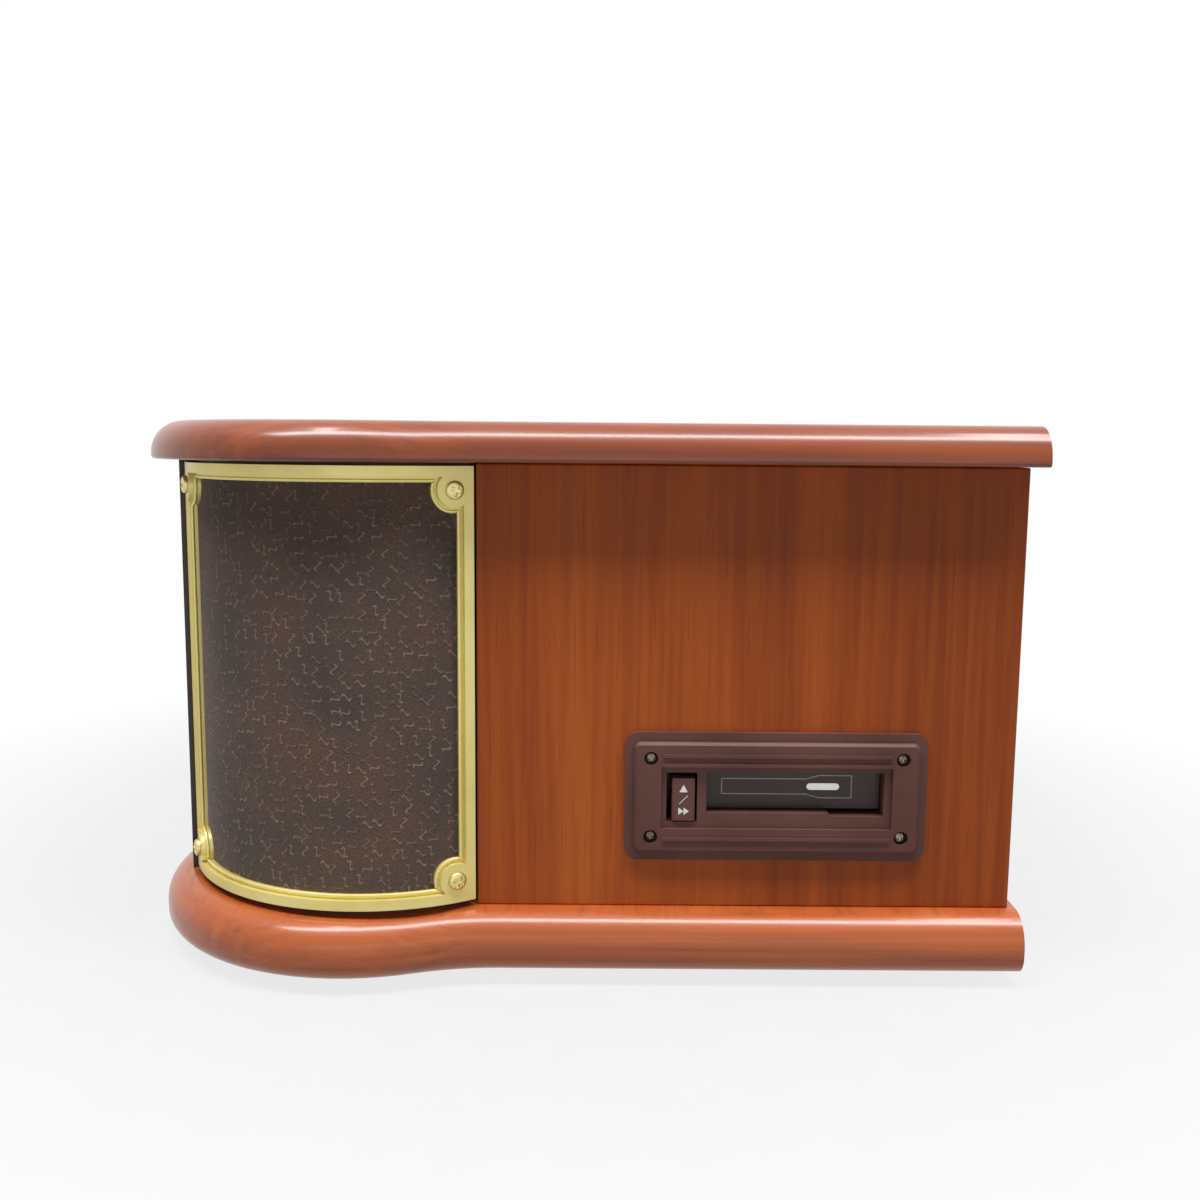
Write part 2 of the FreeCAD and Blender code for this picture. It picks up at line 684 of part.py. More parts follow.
def rubber_feet():
    """Four tapered feet, each with a screw recess underneath."""
    x_front = x_bulge - corner_radius
    y_front_foot = y_front + FOOT_FRONT_INSET
    y_back_foot = y_back - FOOT_BACK_INSET
    x_back = x_wall - FOOT_SIDE_INSET
    points = [
        (FOOT_RECESS_RADIUS, 0),
        (FOOT_RADIUS - FOOT_TAPER, 0),
        (FOOT_RADIUS, FOOT_HEIGHT),
        (0, FOOT_HEIGHT),
        (0, FOOT_RECESS_DEPTH),
        (FOOT_RECESS_RADIUS, FOOT_RECESS_DEPTH),
    ]
    places = [(x_front, y_front_foot), (-x_front, y_front_foot),
              (x_back, y_back_foot), (-x_back, y_back_foot)]
    return group([turned(points, x, y, 0) for x, y in places])


def knuckle(x0, x1, bore):
    """A hinge knuckle between two places along the hinge line."""
    barrel = rod(HINGE_BARREL_RADIUS, x1 - x0, x0, y_hinge, z_hinge, RIGHT)
    return barrel, rod(bore, x1 - x0 + 2 * OVERRUN, x0 - OVERRUN, y_hinge, z_hinge, RIGHT)


def hinge_cabinet_leaves():
    """Leaves on the back panel, with the two outer knuckles."""
    leaves = []
    half = HINGE_LENGTH / 2
    inner = HINGE_MID_KNUCKLE / 2 + BODY_GAP
    y0 = y_hinge - HINGE_LEAF_THICKNESS
    z_clear = z_hinge - HINGE_LEAF_THICKNESS - BODY_GAP
    for x in hinge_centres():
        leaf = box(x - half, x + half, y0, y_hinge, z_hinge - HINGE_CABINET_LEAF_HEIGHT, z_clear)
        for x0, x1 in ((x - half, x - inner), (x + inner, x + half)):
            barrel, bore = knuckle(x0, x1, HINGE_PIN_RADIUS)
            neck = box(x0, x1, y0, y_hinge, z_clear - OVERRUN, z_hinge - BODY_GAP)
            leaf = joined(leaf, neck, barrel).cut(bore)
        leaves.append(leaf)
    return group(leaves)


def hinge_lid_leaves():
    """Leaves on the lid's back edge, with the middle knuckle."""
    leaves = []
    half = HINGE_LENGTH / 2
    inner = HINGE_MID_KNUCKLE / 2
    y0 = y_hinge - HINGE_LEAF_THICKNESS
    z_clear = z_hinge + HINGE_LEAF_THICKNESS + BODY_GAP
    for x in hinge_centres():
        leaf = box(x - half, x + half, y0, y_hinge, z_clear, z_lid + HINGE_LEAF_HEIGHT)
        barrel, bore = knuckle(x - inner, x + inner, HINGE_PIN_RADIUS + RUN_GAP)
        neck = box(x - inner, x + inner, y0, y_hinge, z_hinge + BODY_GAP, z_clear + OVERRUN)
        leaves.append(joined(leaf, neck, barrel).cut(bore))
    return group(leaves)


def hinge_pins():
    half = HINGE_LENGTH / 2
    return group([rod(HINGE_PIN_RADIUS, HINGE_LENGTH, x - half, y_hinge, z_hinge, RIGHT)
                  for x in hinge_centres()])


def wedge(radius, angle0, angle1, z0, z1):
    """A slice of the right column's cylinder; angles run from the back towards the outside."""
    centre = FreeCAD.Vector(x_column, y_column, z0)
    piece = Part.makeCylinder(radius, z1 - z0, centre, UP, angle1 - angle0)
    return piece.rotate(centre, UP, 90 - angle1)


def curved_wall(inner, outer, angle0, angle1, z0, z1):
    """A curved wall of the right column between two radii."""
    core = Part.makeCylinder(inner, z1 - z0, FreeCAD.Vector(x_column, y_column, z0))
    return wedge(outer, angle0, angle1, z0, z1).cut(core)


def outward(angle):
    """The direction out of the right column at an angle."""
    turn = math.radians(angle)
    return FreeCAD.Vector(math.sin(turn), math.cos(turn), 0)


def spread(length, radius):
    """The angle that a length covers on a circle."""
    return math.degrees(length / radius)


def column_rod(radius, angle, z, start, length):
    """A round bar that points out of the right column."""
    base = FreeCAD.Vector(x_column, y_column, z) + outward(angle) * start
    return Part.makeCylinder(radius, length, base, outward(angle))


def grille_screw_places():
    """The angle and height of each grille screw of the right column."""
    inset = spread(EAR_SIDE_INSET, FRAME_RADIUS)
    angles = (FRAME_START_ANGLE + inset, FRAME_END_ANGLE - inset)
    heights = (z_frame_low + EAR_END_INSET, z_frame_high - EAR_END_INSET)
    return [(angle, z) for angle in angles for z in heights]


def screw_holes(piece):
    """The piece with the holes that the grille screws pass through."""
    for angle, z in grille_screw_places():
        piece = piece.cut(column_rod(GRILLE_SCREW_RADIUS, angle, z, FRAME_RADIUS - GRILLE_SCREW_DEPTH,
                                     GRILLE_SCREW_DEPTH + OVERRUN))
    return piece


def corner_column():
    """The curved corner of the cabinet with its window and the upright beside the front panel."""
    reach = FRAME_RADIUS + POST_PROUD
    shell = curved_wall(shell_inner, shell_radius, 0, 180, z_floor, z_rim)
    margin = spread(SHELL_WINDOW_MARGIN, shell_radius)
    window = curved_wall(shell_inner - OVERRUN, shell_radius + OVERRUN, FRAME_START_ANGLE + margin,
                         FRAME_END_ANGLE - margin, z_frame_low + SHELL_WINDOW_MARGIN,
                         z_frame_high - SHELL_WINDOW_MARGIN)
    post = curved_wall(reach - POST_THICKNESS, reach, post_angle, 180, z_floor, z_rim)
    post = post.common(box(x_column, x_column + reach, y_front, y_inner, z_floor, z_rim))
    shell = shell.common(box(x_column, x_column + reach, y_front, y_wall_front, z_floor, z_rim))
    return screw_holes(joined(shell, post).cut(window))


def grille_cloth():
    """The cloth that lies under the frame."""
    margin = spread(CLOTH_MARGIN, FRAME_RADIUS)
    cloth = curved_wall(shell_radius, cloth_radius, FRAME_START_ANGLE + margin, FRAME_END_ANGLE - margin,
                        z_frame_low + CLOTH_MARGIN, z_frame_high - CLOTH_MARGIN)
    return screw_holes(cloth)


def frame_window(inner, outer, border, ear):
    """What the frame leaves open at one depth: a curved window with a round ear in each corner."""
    side = spread(border, FRAME_RADIUS)
    opening = curved_wall(inner, outer, FRAME_START_ANGLE + side, FRAME_END_ANGLE - side,
                          z_frame_low + border, z_frame_high - border)
    for angle, z in grille_screw_places():
        opening = opening.cut(column_rod(ear, angle, z, inner - OVERRUN, outer - inner + 2 * OVERRUN))
    return opening


def grille_frame():
    """The brass frame, stepped down towards its window."""
    frame = curved_wall(cloth_radius, FRAME_RADIUS, FRAME_START_ANGLE, FRAME_END_ANGLE,
                        z_frame_low, z_frame_high)
    through = frame_window(cloth_radius - OVERRUN, FRAME_RADIUS + OVERRUN,
                           FRAME_FACE_WIDTH + FRAME_LEDGE_WIDTH, EAR_RADIUS)
    step = frame_window(FRAME_RADIUS - FRAME_STEP, FRAME_RADIUS + OVERRUN, FRAME_FACE_WIDTH,
                        EAR_RADIUS - FRAME_LEDGE_WIDTH)
    return screw_holes(frame.cut(through).cut(step))


def grille_screw(angle, z):
    """A round-headed screw through the frame, the cloth and the column."""
    crown = GRILLE_SCREW_HEAD_RADIUS / 2
    points = [
        (0, 0),
        (GRILLE_SCREW_RADIUS, 0),
        (GRILLE_SCREW_RADIUS, GRILLE_SCREW_DEPTH),
        (GRILLE_SCREW_HEAD_RADIUS, GRILLE_SCREW_DEPTH),
        (GRILLE_SCREW_HEAD_RADIUS, GRILLE_SCREW_DEPTH + GRILLE_SCREW_HEAD_HEIGHT / 2),
        (crown, GRILLE_SCREW_DEPTH + GRILLE_SCREW_HEAD_HEIGHT),
        (0, GRILLE_SCREW_DEPTH + GRILLE_SCREW_HEAD_HEIGHT),
    ]
    base = FreeCAD.Vector(x_column, y_column, z) + outward(angle) * (FRAME_RADIUS - GRILLE_SCREW_DEPTH)
    return turned(points, base.x, base.y, base.z, outward(angle))


def grille_screws():
    screws = [grille_screw(angle, z) for angle, z in grille_screw_places()]
    return group(screws + [mirrored(screw) for screw in screws])


def speaker_board():
    """The flat board across the column that carries the driver."""
    board = box(-half_board, half_board, speaker_reach - SPEAKER_BOARD_THICKNESS, speaker_reach,
                z_floor, z_speaker_top)
    z = (z_floor + z_speaker_top) / 2
    board = board.cut(rod(SPEAKER_HOLE_RADIUS, SPEAKER_BOARD_THICKNESS + 2 * OVERRUN, 0,
                          speaker_reach - SPEAKER_BOARD_THICKNESS - OVERRUN, z, BACKWARD))
    board = board.rotate(ORIGIN, UP, -speaker_angle)
    return board.translate(FreeCAD.Vector(x_column, y_column, 0))


def speaker_boards():
    board = speaker_board()
    return group([board, mirrored(board)])


def speaker_driver():
    """A driver on its board: a basket with its magnet, and the cone inside it."""
    base = FreeCAD.Vector(x_column, y_column, (z_floor + z_speaker_top) / 2)
    base = base + outward(speaker_angle) * speaker_reach
    rim = SPEAKER_HOLE_RADIUS - FIT_GAP
    back = SPEAKER_FLANGE - SPEAKER_DEPTH
    basket = turned([
        (rim - SPEAKER_WALL, SPEAKER_FLANGE),
        (SPEAKER_RADIUS, SPEAKER_FLANGE),
        (SPEAKER_RADIUS, 0),
        (rim, 0),
        (SPEAKER_THROAT_RADIUS + SPEAKER_WALL, back),
        (MAGNET_RADIUS, back),
        (MAGNET_RADIUS, back - MAGNET_HEIGHT),
        (0, back - MAGNET_HEIGHT),
        (0, back),
        (SPEAKER_THROAT_RADIUS, back),
    ], base.x, base.y, base.z, outward(speaker_angle))
    cone = turned([
        (0, back + SPEAKER_WALL),
        (CONE_CAP_RADIUS, back + SPEAKER_WALL),
        (rim - SPEAKER_WALL - CONE_THICKNESS, SPEAKER_FLANGE),
        (rim - SPEAKER_WALL, SPEAKER_FLANGE),
        (SPEAKER_THROAT_RADIUS, back),
        (0, back),
    ], base.x, base.y, base.z, outward(speaker_angle))
    return [basket, cone]


def speaker_drivers():
    pieces = speaker_driver()
    return group(pieces + [mirrored(piece) for piece in pieces])


def motor_board():
    """The turntable deck, with its holes, the platter's dish and the adapter's seat."""
    half = x_inner - FIT_GAP
    y0 = y_inner + FIT_GAP
    deck = box(-half, half, y0, y_rear - FIT_GAP, z_under, z_deck)
    corners = [edge for edge in edges_along(deck, UP) if edge.BoundBox.YMin < y0 + TOUCH]
    deck = deck.makeFillet(DECK_CORNER_RADIUS, corners)
    deck = deck.cut(rod(PLATTER_RADIUS + DECK_RECESS_MARGIN, DECK_RECESS_DEPTH + OVERRUN,
                        x_platter, y_platter, z_deck - DECK_RECESS_DEPTH))
    deck = deck.cut(rod(BUSH_RADIUS, DECK_THICKNESS + 2 * OVERRUN, x_platter, y_platter, z_under - OVERRUN))
    motor_hole = PULLEY_RADIUS + PULLEY_FLANGE + MOTOR_HOLE_MARGIN
    deck = deck.cut(rod(motor_hole, DECK_THICKNESS + 2 * OVERRUN, x_motor, y_motor, z_under - OVERRUN))
    deck = deck.cut(rod(ADAPTER_RADIUS + BODY_GAP, ADAPTER_RECESS + OVERRUN, x_adapter, y_adapter,
                        z_deck - ADAPTER_RECESS))
    slot_half = (SPEED_TRAVEL + SPEED_STEM_LENGTH) / 2 + BODY_GAP
    slot_side = SPEED_STEM_WIDTH / 2 + BODY_GAP
    return deck.cut(box(x_speed - slot_side, x_speed + slot_side, y_speed - slot_half, y_speed + slot_half,
                        z_under - OVERRUN, z_deck + OVERRUN))


def deck_rails():
    """The battens under the deck: one on each side, one at the back, and two cleats at the front."""
    z0 = z_under - RAIL_SIZE
    side = box(x_inner - RAIL_SIZE, x_inner, y_wall_front, y_rear - RAIL_SIZE, z0, z_under)
    back = box(-x_inner + RAIL_INSET, x_inner - RAIL_INSET, y_rear - RAIL_SIZE, y_rear, z0, z_under)
    x_cleat = DIAL_WIDTH / 2 + LENS_LIP + DIAL_PLATE_MARGIN
    cleat = box(x_cleat, x_cleat + CLEAT_LENGTH, y_inner, y_inner + RAIL_SIZE, z0, z_under)
    return group([side, mirrored(side), back, cleat, mirrored(cleat)])


def platter():
    """The dished platter with its drive ring and hub."""
    ring = DRIVE_RING_RADIUS - DRIVE_RING_WALL
    under = PLATTER_HEIGHT - PLATTER_TOP
    rim = PLATTER_RADIUS - PLATTER_RIM
    return turned([
        (SPINDLE_SHAFT_RADIUS, 0),
        (HUB_RADIUS, 0),
        (HUB_RADIUS, under),
        (ring, under),
        (ring, DRIVE_RING_RISE),
        (DRIVE_RING_RADIUS, DRIVE_RING_RISE),
        (DRIVE_RING_RADIUS, under),
        (rim, under),
        (rim, 0),
        (PLATTER_RADIUS, 0),
        (PLATTER_RADIUS, PLATTER_HEIGHT - PLATTER_EDGE_ROUND),
        (PLATTER_RADIUS - PLATTER_EDGE_ROUND, PLATTER_HEIGHT),
        (SPINDLE_SHAFT_RADIUS, PLATTER_HEIGHT),
    ], x_platter, y_platter, z_platter)


def platter_mat():
    """The rubber mat with round grooves."""
    points = [(SPINDLE_SHAFT_RADIUS, 0), (MAT_RADIUS, 0), (MAT_RADIUS, MAT_THICKNESS)]
    for share in reversed(MAT_GROOVE_SHARES):
        outer = MAT_RADIUS * share + MAT_GROOVE_WIDTH / 2
        inner = MAT_RADIUS * share - MAT_GROOVE_WIDTH / 2
        points.append((outer, MAT_THICKNESS))
        points.append((outer, MAT_THICKNESS - MAT_GROOVE_DEPTH))
        points.append((inner, MAT_THICKNESS - MAT_GROOVE_DEPTH))
        points.append((inner, MAT_THICKNESS))
    points.append((SPINDLE_SHAFT_RADIUS, MAT_THICKNESS))
    return turned(points, x_platter, y_platter, z_platter_top)


def spindle():
    """The centre spindle, with the thicker shaft that turns in the bush."""
    shoulder = SPINDLE_SHAFT_LENGTH + MAT_THICKNESS
    top = shoulder + SPINDLE_RISE
    return turned([
        (0, 0),
        (SPINDLE_SHAFT_RADIUS, 0),
        (SPINDLE_SHAFT_RADIUS, shoulder),
        (SPINDLE_RADIUS, shoulder),
        (SPINDLE_RADIUS, top - SPINDLE_TIP),
        (SPINDLE_RADIUS / 2, top),
        (0, top),
    ], x_platter, y_platter, z_platter_top - SPINDLE_SHAFT_LENGTH)


def spindle_bush():
    """The bearing bush under the deck, closed at the bottom."""
    bottom = z_platter_top - SPINDLE_SHAFT_LENGTH - BODY_GAP - BUSH_FLOOR
    bore = SPINDLE_SHAFT_RADIUS + RUN_GAP
    seat = z_under - bottom
    top = z_deck + BUSH_RISE - bottom
    return turned([
        (0, 0),
        (BUSH_RADIUS, 0),
        (BUSH_RADIUS, seat - BUSH_FLANGE_THICKNESS),
        (BUSH_FLANGE_RADIUS, seat - BUSH_FLANGE_THICKNESS),
        (BUSH_FLANGE_RADIUS, seat),
        (BUSH_RADIUS, seat),
        (BUSH_RADIUS, top),
        (bore, top),
        (bore, BUSH_FLOOR),
        (0, BUSH_FLOOR),
    ], x_platter, y_platter, bottom)


def drive_motor():
    can = rod(MOTOR_RADIUS, MOTOR_HEIGHT, x_motor, y_motor, z_under - MOTOR_HEIGHT)
    return can.cut(rod(MOTOR_SHAFT_RADIUS + RUN_GAP, MOTOR_SHAFT_DEPTH + BODY_GAP + OVERRUN, x_motor, y_motor,
                       z_under - MOTOR_SHAFT_DEPTH - BODY_GAP))


def motor_pulley():
    """The pulley on the motor's shaft, with a flange at each end."""
    bottom = z_under - MOTOR_SHAFT_DEPTH
    low = z_pulley - bottom
    high = z_pulley_top - bottom
    flange = PULLEY_RADIUS + PULLEY_FLANGE
    return turned([
        (0, 0),
        (MOTOR_SHAFT_RADIUS, 0),
        (MOTOR_SHAFT_RADIUS, low),
        (flange, low),
        (flange, low + PULLEY_FLANGE_HEIGHT),
        (PULLEY_RADIUS, low + PULLEY_FLANGE_HEIGHT),
        (PULLEY_RADIUS, high - PULLEY_FLANGE_HEIGHT),
        (flange, high - PULLEY_FLANGE_HEIGHT),
        (flange, high),
        (0, high),
    ], x_motor, y_motor, bottom)


def loop_face(circles):
    """The flat area inside a tight loop round circles, given as (across, up, radius), anticlockwise."""
    normals = []
    for here, there in zip(circles, circles[1:] + circles[:1]):
        across = FreeCAD.Vector(there[0] - here[0], there[1] - here[1], 0)
        lean = (here[2] - there[2]) / across.Length
        along = across.normalize()
        aside = along.cross(UP)
        normals.append(along * lean + aside * math.sqrt(1 - lean ** 2))
    edges = []
    for index, (across, up, radius) in enumerate(circles):
        centre = FreeCAD.Vector(across, up, 0)
        arrive = normals[index - 1]
        leave = normals[index]
        turn = math.atan2(arrive.cross(leave).z, arrive.dot(leave)) % (2 * math.pi)
        middle = FreeCAD.Rotation(UP, math.degrees(turn) / 2).multVec(arrive)
        edges.append(arc(centre + arrive * radius, centre + middle * radius, centre + leave * radius))
        ahead = circles[(index + 1) % len(circles)]
        target = FreeCAD.Vector(ahead[0], ahead[1], 0) + leave * ahead[2]
        edges.append(Part.makeLine(centre + leave * radius, target))
    return Part.Face(Part.Wire(edges))


def loop_band(circles, gap, thickness, height):
    """A closed band that runs round circles, lying flat."""
    inner = loop_face([(across, up, radius + gap) for across, up, radius in circles])
    outer = loop_face([(across, up, radius + gap + thickness) for across, up, radius in circles])
    rise = FreeCAD.Vector(0, 0, height)
    return outer.extrude(rise).cut(inner.extrude(rise))


def drive_belt():
    wheels = [(x_platter, y_platter, DRIVE_RING_RADIUS), (x_motor, y_motor, PULLEY_RADIUS)]
    band = loop_band(wheels, BELT_GAP, BELT_THICKNESS, BELT_HEIGHT)
    return band.translate(FreeCAD.Vector(0, 0, (z_pulley + z_pulley_top - BELT_HEIGHT) / 2))


def lift_piston_place():
    turn = math.radians(LIFT_PISTON_ANGLE)
    return x_pivot - LIFT_RADIUS * math.sin(turn), y_pivot - LIFT_RADIUS * math.cos(turn)


def tonearm_base():
    """The casting that carries the arm's pin, the lift's guide and the cue lever's pin."""
    disc = rod(ARM_BASE_RADIUS, ARM_BASE_HEIGHT, x_pivot, y_pivot, z_deck)
    pin = rod(ARM_PIN_RADIUS, ARM_BASE_HEIGHT + ARM_PIN_HEIGHT, x_pivot, y_pivot, z_deck)
    x_lift, y_lift = lift_piston_place()
    web = box(-LIFT_BOSS_RADIUS, LIFT_BOSS_RADIUS, -LIFT_RADIUS, 0, z_deck, z_deck + ARM_BASE_HEIGHT)
    web = web.rotate(ORIGIN, UP, -LIFT_PISTON_ANGLE).translate(FreeCAD.Vector(x_pivot, y_pivot, 0))
    boss = rod(LIFT_BOSS_RADIUS, LIFT_BOSS_HEIGHT, x_lift, y_lift, z_deck)
    y_cue = y_pivot - CUE_FORWARD
    block = box(x_pivot + CUE_BLOCK_START, x_pivot + CUE_BLOCK_END, y_cue - CUE_BLOCK_HALF_DEPTH,
                y_cue + CUE_BLOCK_HALF_DEPTH, z_deck, z_deck + CUE_HEIGHT + CUE_BLOCK_RISE)
    axle = rod(CUE_PIN_RADIUS, CUE_BLOCK_END - CUE_BLOCK_START + BODY_GAP + CUE_HUB_LENGTH,
               x_pivot + CUE_BLOCK_START, y_cue, z_deck + CUE_HEIGHT, RIGHT)
    base = joined(disc, pin, web, boss, block, axle)
    return base.cut(rod(LIFT_PISTON_RADIUS + RUN_GAP, LIFT_BOSS_HEIGHT + OVERRUN, x_lift, y_lift,
                        z_deck + ARM_BASE_HEIGHT))


def tonearm_yoke():
    """The part that turns on the pin and holds the arm's axle between two cheeks."""
    low = z_deck + ARM_BASE_HEIGHT + BODY_GAP
    cap = z_deck + ARM_BASE_HEIGHT + ARM_PIN_HEIGHT + BODY_GAP
    top = z_arm + YOKE_RISE
    y0 = y_pivot - YOKE_HALF_DEPTH
    y1 = y_pivot + YOKE_HALF_DEPTH
    sleeve = rod(YOKE_RADIUS, cap + YOKE_CAP - low, x_pivot, y_pivot, low)
    bridge = box(x_pivot - YOKE_HALF_WIDTH, x_pivot + YOKE_HALF_WIDTH, y0, y1, cap, cap + YOKE_CAP)
    left = box(x_pivot - YOKE_HALF_WIDTH, x_pivot - YOKE_HALF_WIDTH + YOKE_CHEEK, y0, y1, cap, top)
    right = box(x_pivot + YOKE_HALF_WIDTH - YOKE_CHEEK, x_pivot + YOKE_HALF_WIDTH, y0, y1, cap, top)
    left = rounded_top(left, top)
    right = rounded_top(right, top)
    yoke = joined(sleeve, bridge, left, right)
    yoke = yoke.cut(rod(ARM_PIN_RADIUS + RUN_GAP, cap - low + OVERRUN, x_pivot, y_pivot, low - OVERRUN))
    return yoke.cut(rod(ARM_AXLE_RADIUS + RUN_GAP, 2 * (YOKE_HALF_WIDTH + OVERRUN),
                        x_pivot - YOKE_HALF_WIDTH - OVERRUN, y_pivot, z_arm, RIGHT))


def rounded_top(cheek, top):
    """A yoke cheek with the two upper corners rounded."""
    corners = [edge for edge in edges_along(cheek, RIGHT) if edge.BoundBox.ZMin > top - TOUCH]
    return cheek.makeFillet(YOKE_HALF_DEPTH / 2, corners)


def tonearm_tube():
    """The arm's tube and tail with the block and axle that it tilts on."""
    half = YOKE_HALF_WIDTH - YOKE_CHEEK - ARM_BLOCK_GAP
    block = box(x_pivot - half, x_pivot + half, y_pivot - ARM_BLOCK_HALF_DEPTH,
                y_pivot + ARM_BLOCK_HALF_DEPTH, z_arm - ARM_BLOCK_HALF_HEIGHT, z_arm + ARM_BLOCK_HALF_HEIGHT)
    axle = rod(ARM_AXLE_RADIUS, 2 * YOKE_HALF_WIDTH, x_pivot - YOKE_HALF_WIDTH, y_pivot, z_arm, RIGHT)
    tube = rod(ARM_TUBE_RADIUS, ARM_TUBE_LENGTH + ARM_TAIL_LENGTH, x_pivot, y_pivot - ARM_TUBE_LENGTH,
               z_arm, BACKWARD)
    return joined(block, axle, tube)


def counterweight():
    weight = turned([
        (ARM_TUBE_RADIUS, 0),
        (COUNTERWEIGHT_RADIUS - COUNTERWEIGHT_ROUND, 0),
        (COUNTERWEIGHT_RADIUS, COUNTERWEIGHT_ROUND),
        (COUNTERWEIGHT_RADIUS, COUNTERWEIGHT_LENGTH - COUNTERWEIGHT_ROUND),
        (COUNTERWEIGHT_RADIUS - COUNTERWEIGHT_ROUND, COUNTERWEIGHT_LENGTH),
        (ARM_TUBE_RADIUS, COUNTERWEIGHT_LENGTH),
    ], x_pivot, y_pivot + COUNTERWEIGHT_START, z_arm, BACKWARD)
    return weight


def headshell():
    """The headshell, set at its offset angle, with the cartridge and stylus below it."""
    y_end = y_pivot - head_reach
    neck = rod(HEADSHELL_NECK_RADIUS, HEADSHELL_NECK_LENGTH, x_pivot, y_end, z_arm, BACKWARD)
    neck = neck.cut(rod(ARM_TUBE_RADIUS, HEADSHELL_NECK_GRIP + OVERRUN, x_pivot,
                        y_pivot - ARM_TUBE_LENGTH, z_arm, BACKWARD))
    half = HEADSHELL_WIDTH / 2
    z0 = z_arm - HEADSHELL_THICKNESS / 2
    plate = box(-half, half, -HEADSHELL_LENGTH, 0, z0, z0 + HEADSHELL_THICKNESS)
    plate = rounded(plate, HEADSHELL_ROUND, UP)
    finger = box(half - FINGER_THICKNESS, half + FINGER_LENGTH, FINGER_WIDTH - HEADSHELL_LENGTH / 2,
                 2 * FINGER_WIDTH - HEADSHELL_LENGTH / 2, z0, z0 + FINGER_THICKNESS)
    shell = turned_head(joined(plate, finger), y_end)
    body_low = z_stylus + STYLUS_HEIGHT
    y_body = -CARTRIDGE_START
    body = box(-CARTRIDGE_WIDTH / 2, CARTRIDGE_WIDTH / 2, y_body - CARTRIDGE_LENGTH, y_body, body_low, z0)
    needle = turned([(0, 0), (STYLUS_TIP_RADIUS, 0), (STYLUS_RADIUS, STYLUS_HEIGHT), (0, STYLUS_HEIGHT)],
                    0, -STYLUS_REACH, z_stylus)
    return group([joined(neck, shell), turned_head(joined(body, needle), y_end)])


def turned_head(piece, y_end):
    """A piece of the head turned to the offset angle and set at the end of the neck."""
    piece = piece.rotate(ORIGIN, UP, -HEADSHELL_OFFSET_ANGLE)
    return piece.translate(FreeCAD.Vector(x_pivot, y_end, 0))


def arm_rest():
    """A post with a shelf and a lip, open on the platter's side."""
    y = y_pivot - REST_DISTANCE
    shelf = z_arm - ARM_TUBE_RADIUS - BODY_GAP
    base = rod(REST_BASE_RADIUS, REST_BASE_HEIGHT, x_pivot, y, z_deck)
    post = rod(REST_POST_RADIUS, shelf - REST_HEIGHT / 2 - z_deck, x_pivot, y, z_deck)
    tray = box(x_pivot - REST_HALF_WIDTH, x_pivot + REST_HALF_WIDTH, y - REST_HALF_DEPTH, y + REST_HALF_DEPTH,
               shelf - REST_HEIGHT, shelf)
    lip = box(x_pivot + ARM_TUBE_RADIUS + BODY_GAP, x_pivot + REST_HALF_WIDTH, y - REST_HALF_DEPTH,
              y + REST_HALF_DEPTH, shelf - REST_HEIGHT, shelf + REST_LIP_RISE)
    return joined(base, post, tray, lip)


def lift_bar():
    """The curved bar that raises the arm, on its piston."""
    top = z_arm - ARM_TUBE_RADIUS - BODY_GAP
    low = top - LIFT_BAR_HEIGHT
    sweep = SWING_RANGE + 2 * LIFT_MARGIN_ANGLE
    centre = FreeCAD.Vector(x_pivot, y_pivot, low)
    outer = Part.makeCylinder(LIFT_RADIUS + LIFT_BAR_WIDTH / 2, LIFT_BAR_HEIGHT, centre, UP, sweep)
    bar = outer.cut(Part.makeCylinder(LIFT_RADIUS - LIFT_BAR_WIDTH / 2, LIFT_BAR_HEIGHT, centre))
    bar = bar.rotate(centre, UP, LIFT_MARGIN_ANGLE - 90 - sweep)
    x, y = lift_piston_place()
    bottom = z_deck + LIFT_BOSS_HEIGHT - LIFT_PISTON_GRIP
    return joined(bar, rod(LIFT_PISTON_RADIUS, low + LIFT_BAR_HEIGHT / 2 - bottom, x, y, bottom))


def cue_lever():
    """The lever that raises the arm."""
    x0 = x_pivot + CUE_BLOCK_END + BODY_GAP
    y = y_pivot - CUE_FORWARD
    z = z_deck + CUE_HEIGHT
    hub = rod(CUE_HUB_RADIUS, CUE_HUB_LENGTH, x0, y, z, RIGHT)
    arm = box(x0, x0 + CUE_HUB_LENGTH, y - CUE_ARM_LENGTH, y, z - CUE_ARM_THICKNESS / 2,
              z + CUE_ARM_THICKNESS / 2)
    tab = box(x0 - CUE_TAB_THICKNESS, x0 + CUE_HUB_LENGTH + CUE_TAB_THICKNESS, y - CUE_ARM_LENGTH,
              y - CUE_ARM_LENGTH + CUE_TAB_LENGTH, z - CUE_ARM_THICKNESS / 2,
              z + CUE_ARM_THICKNESS / 2 + CUE_TAB_THICKNESS)
    lever = joined(hub, arm, tab)
    return lever.cut(rod(CUE_PIN_RADIUS + RUN_GAP, CUE_HUB_LENGTH + 2 * OVERRUN, x0 - OVERRUN, y, z, RIGHT))


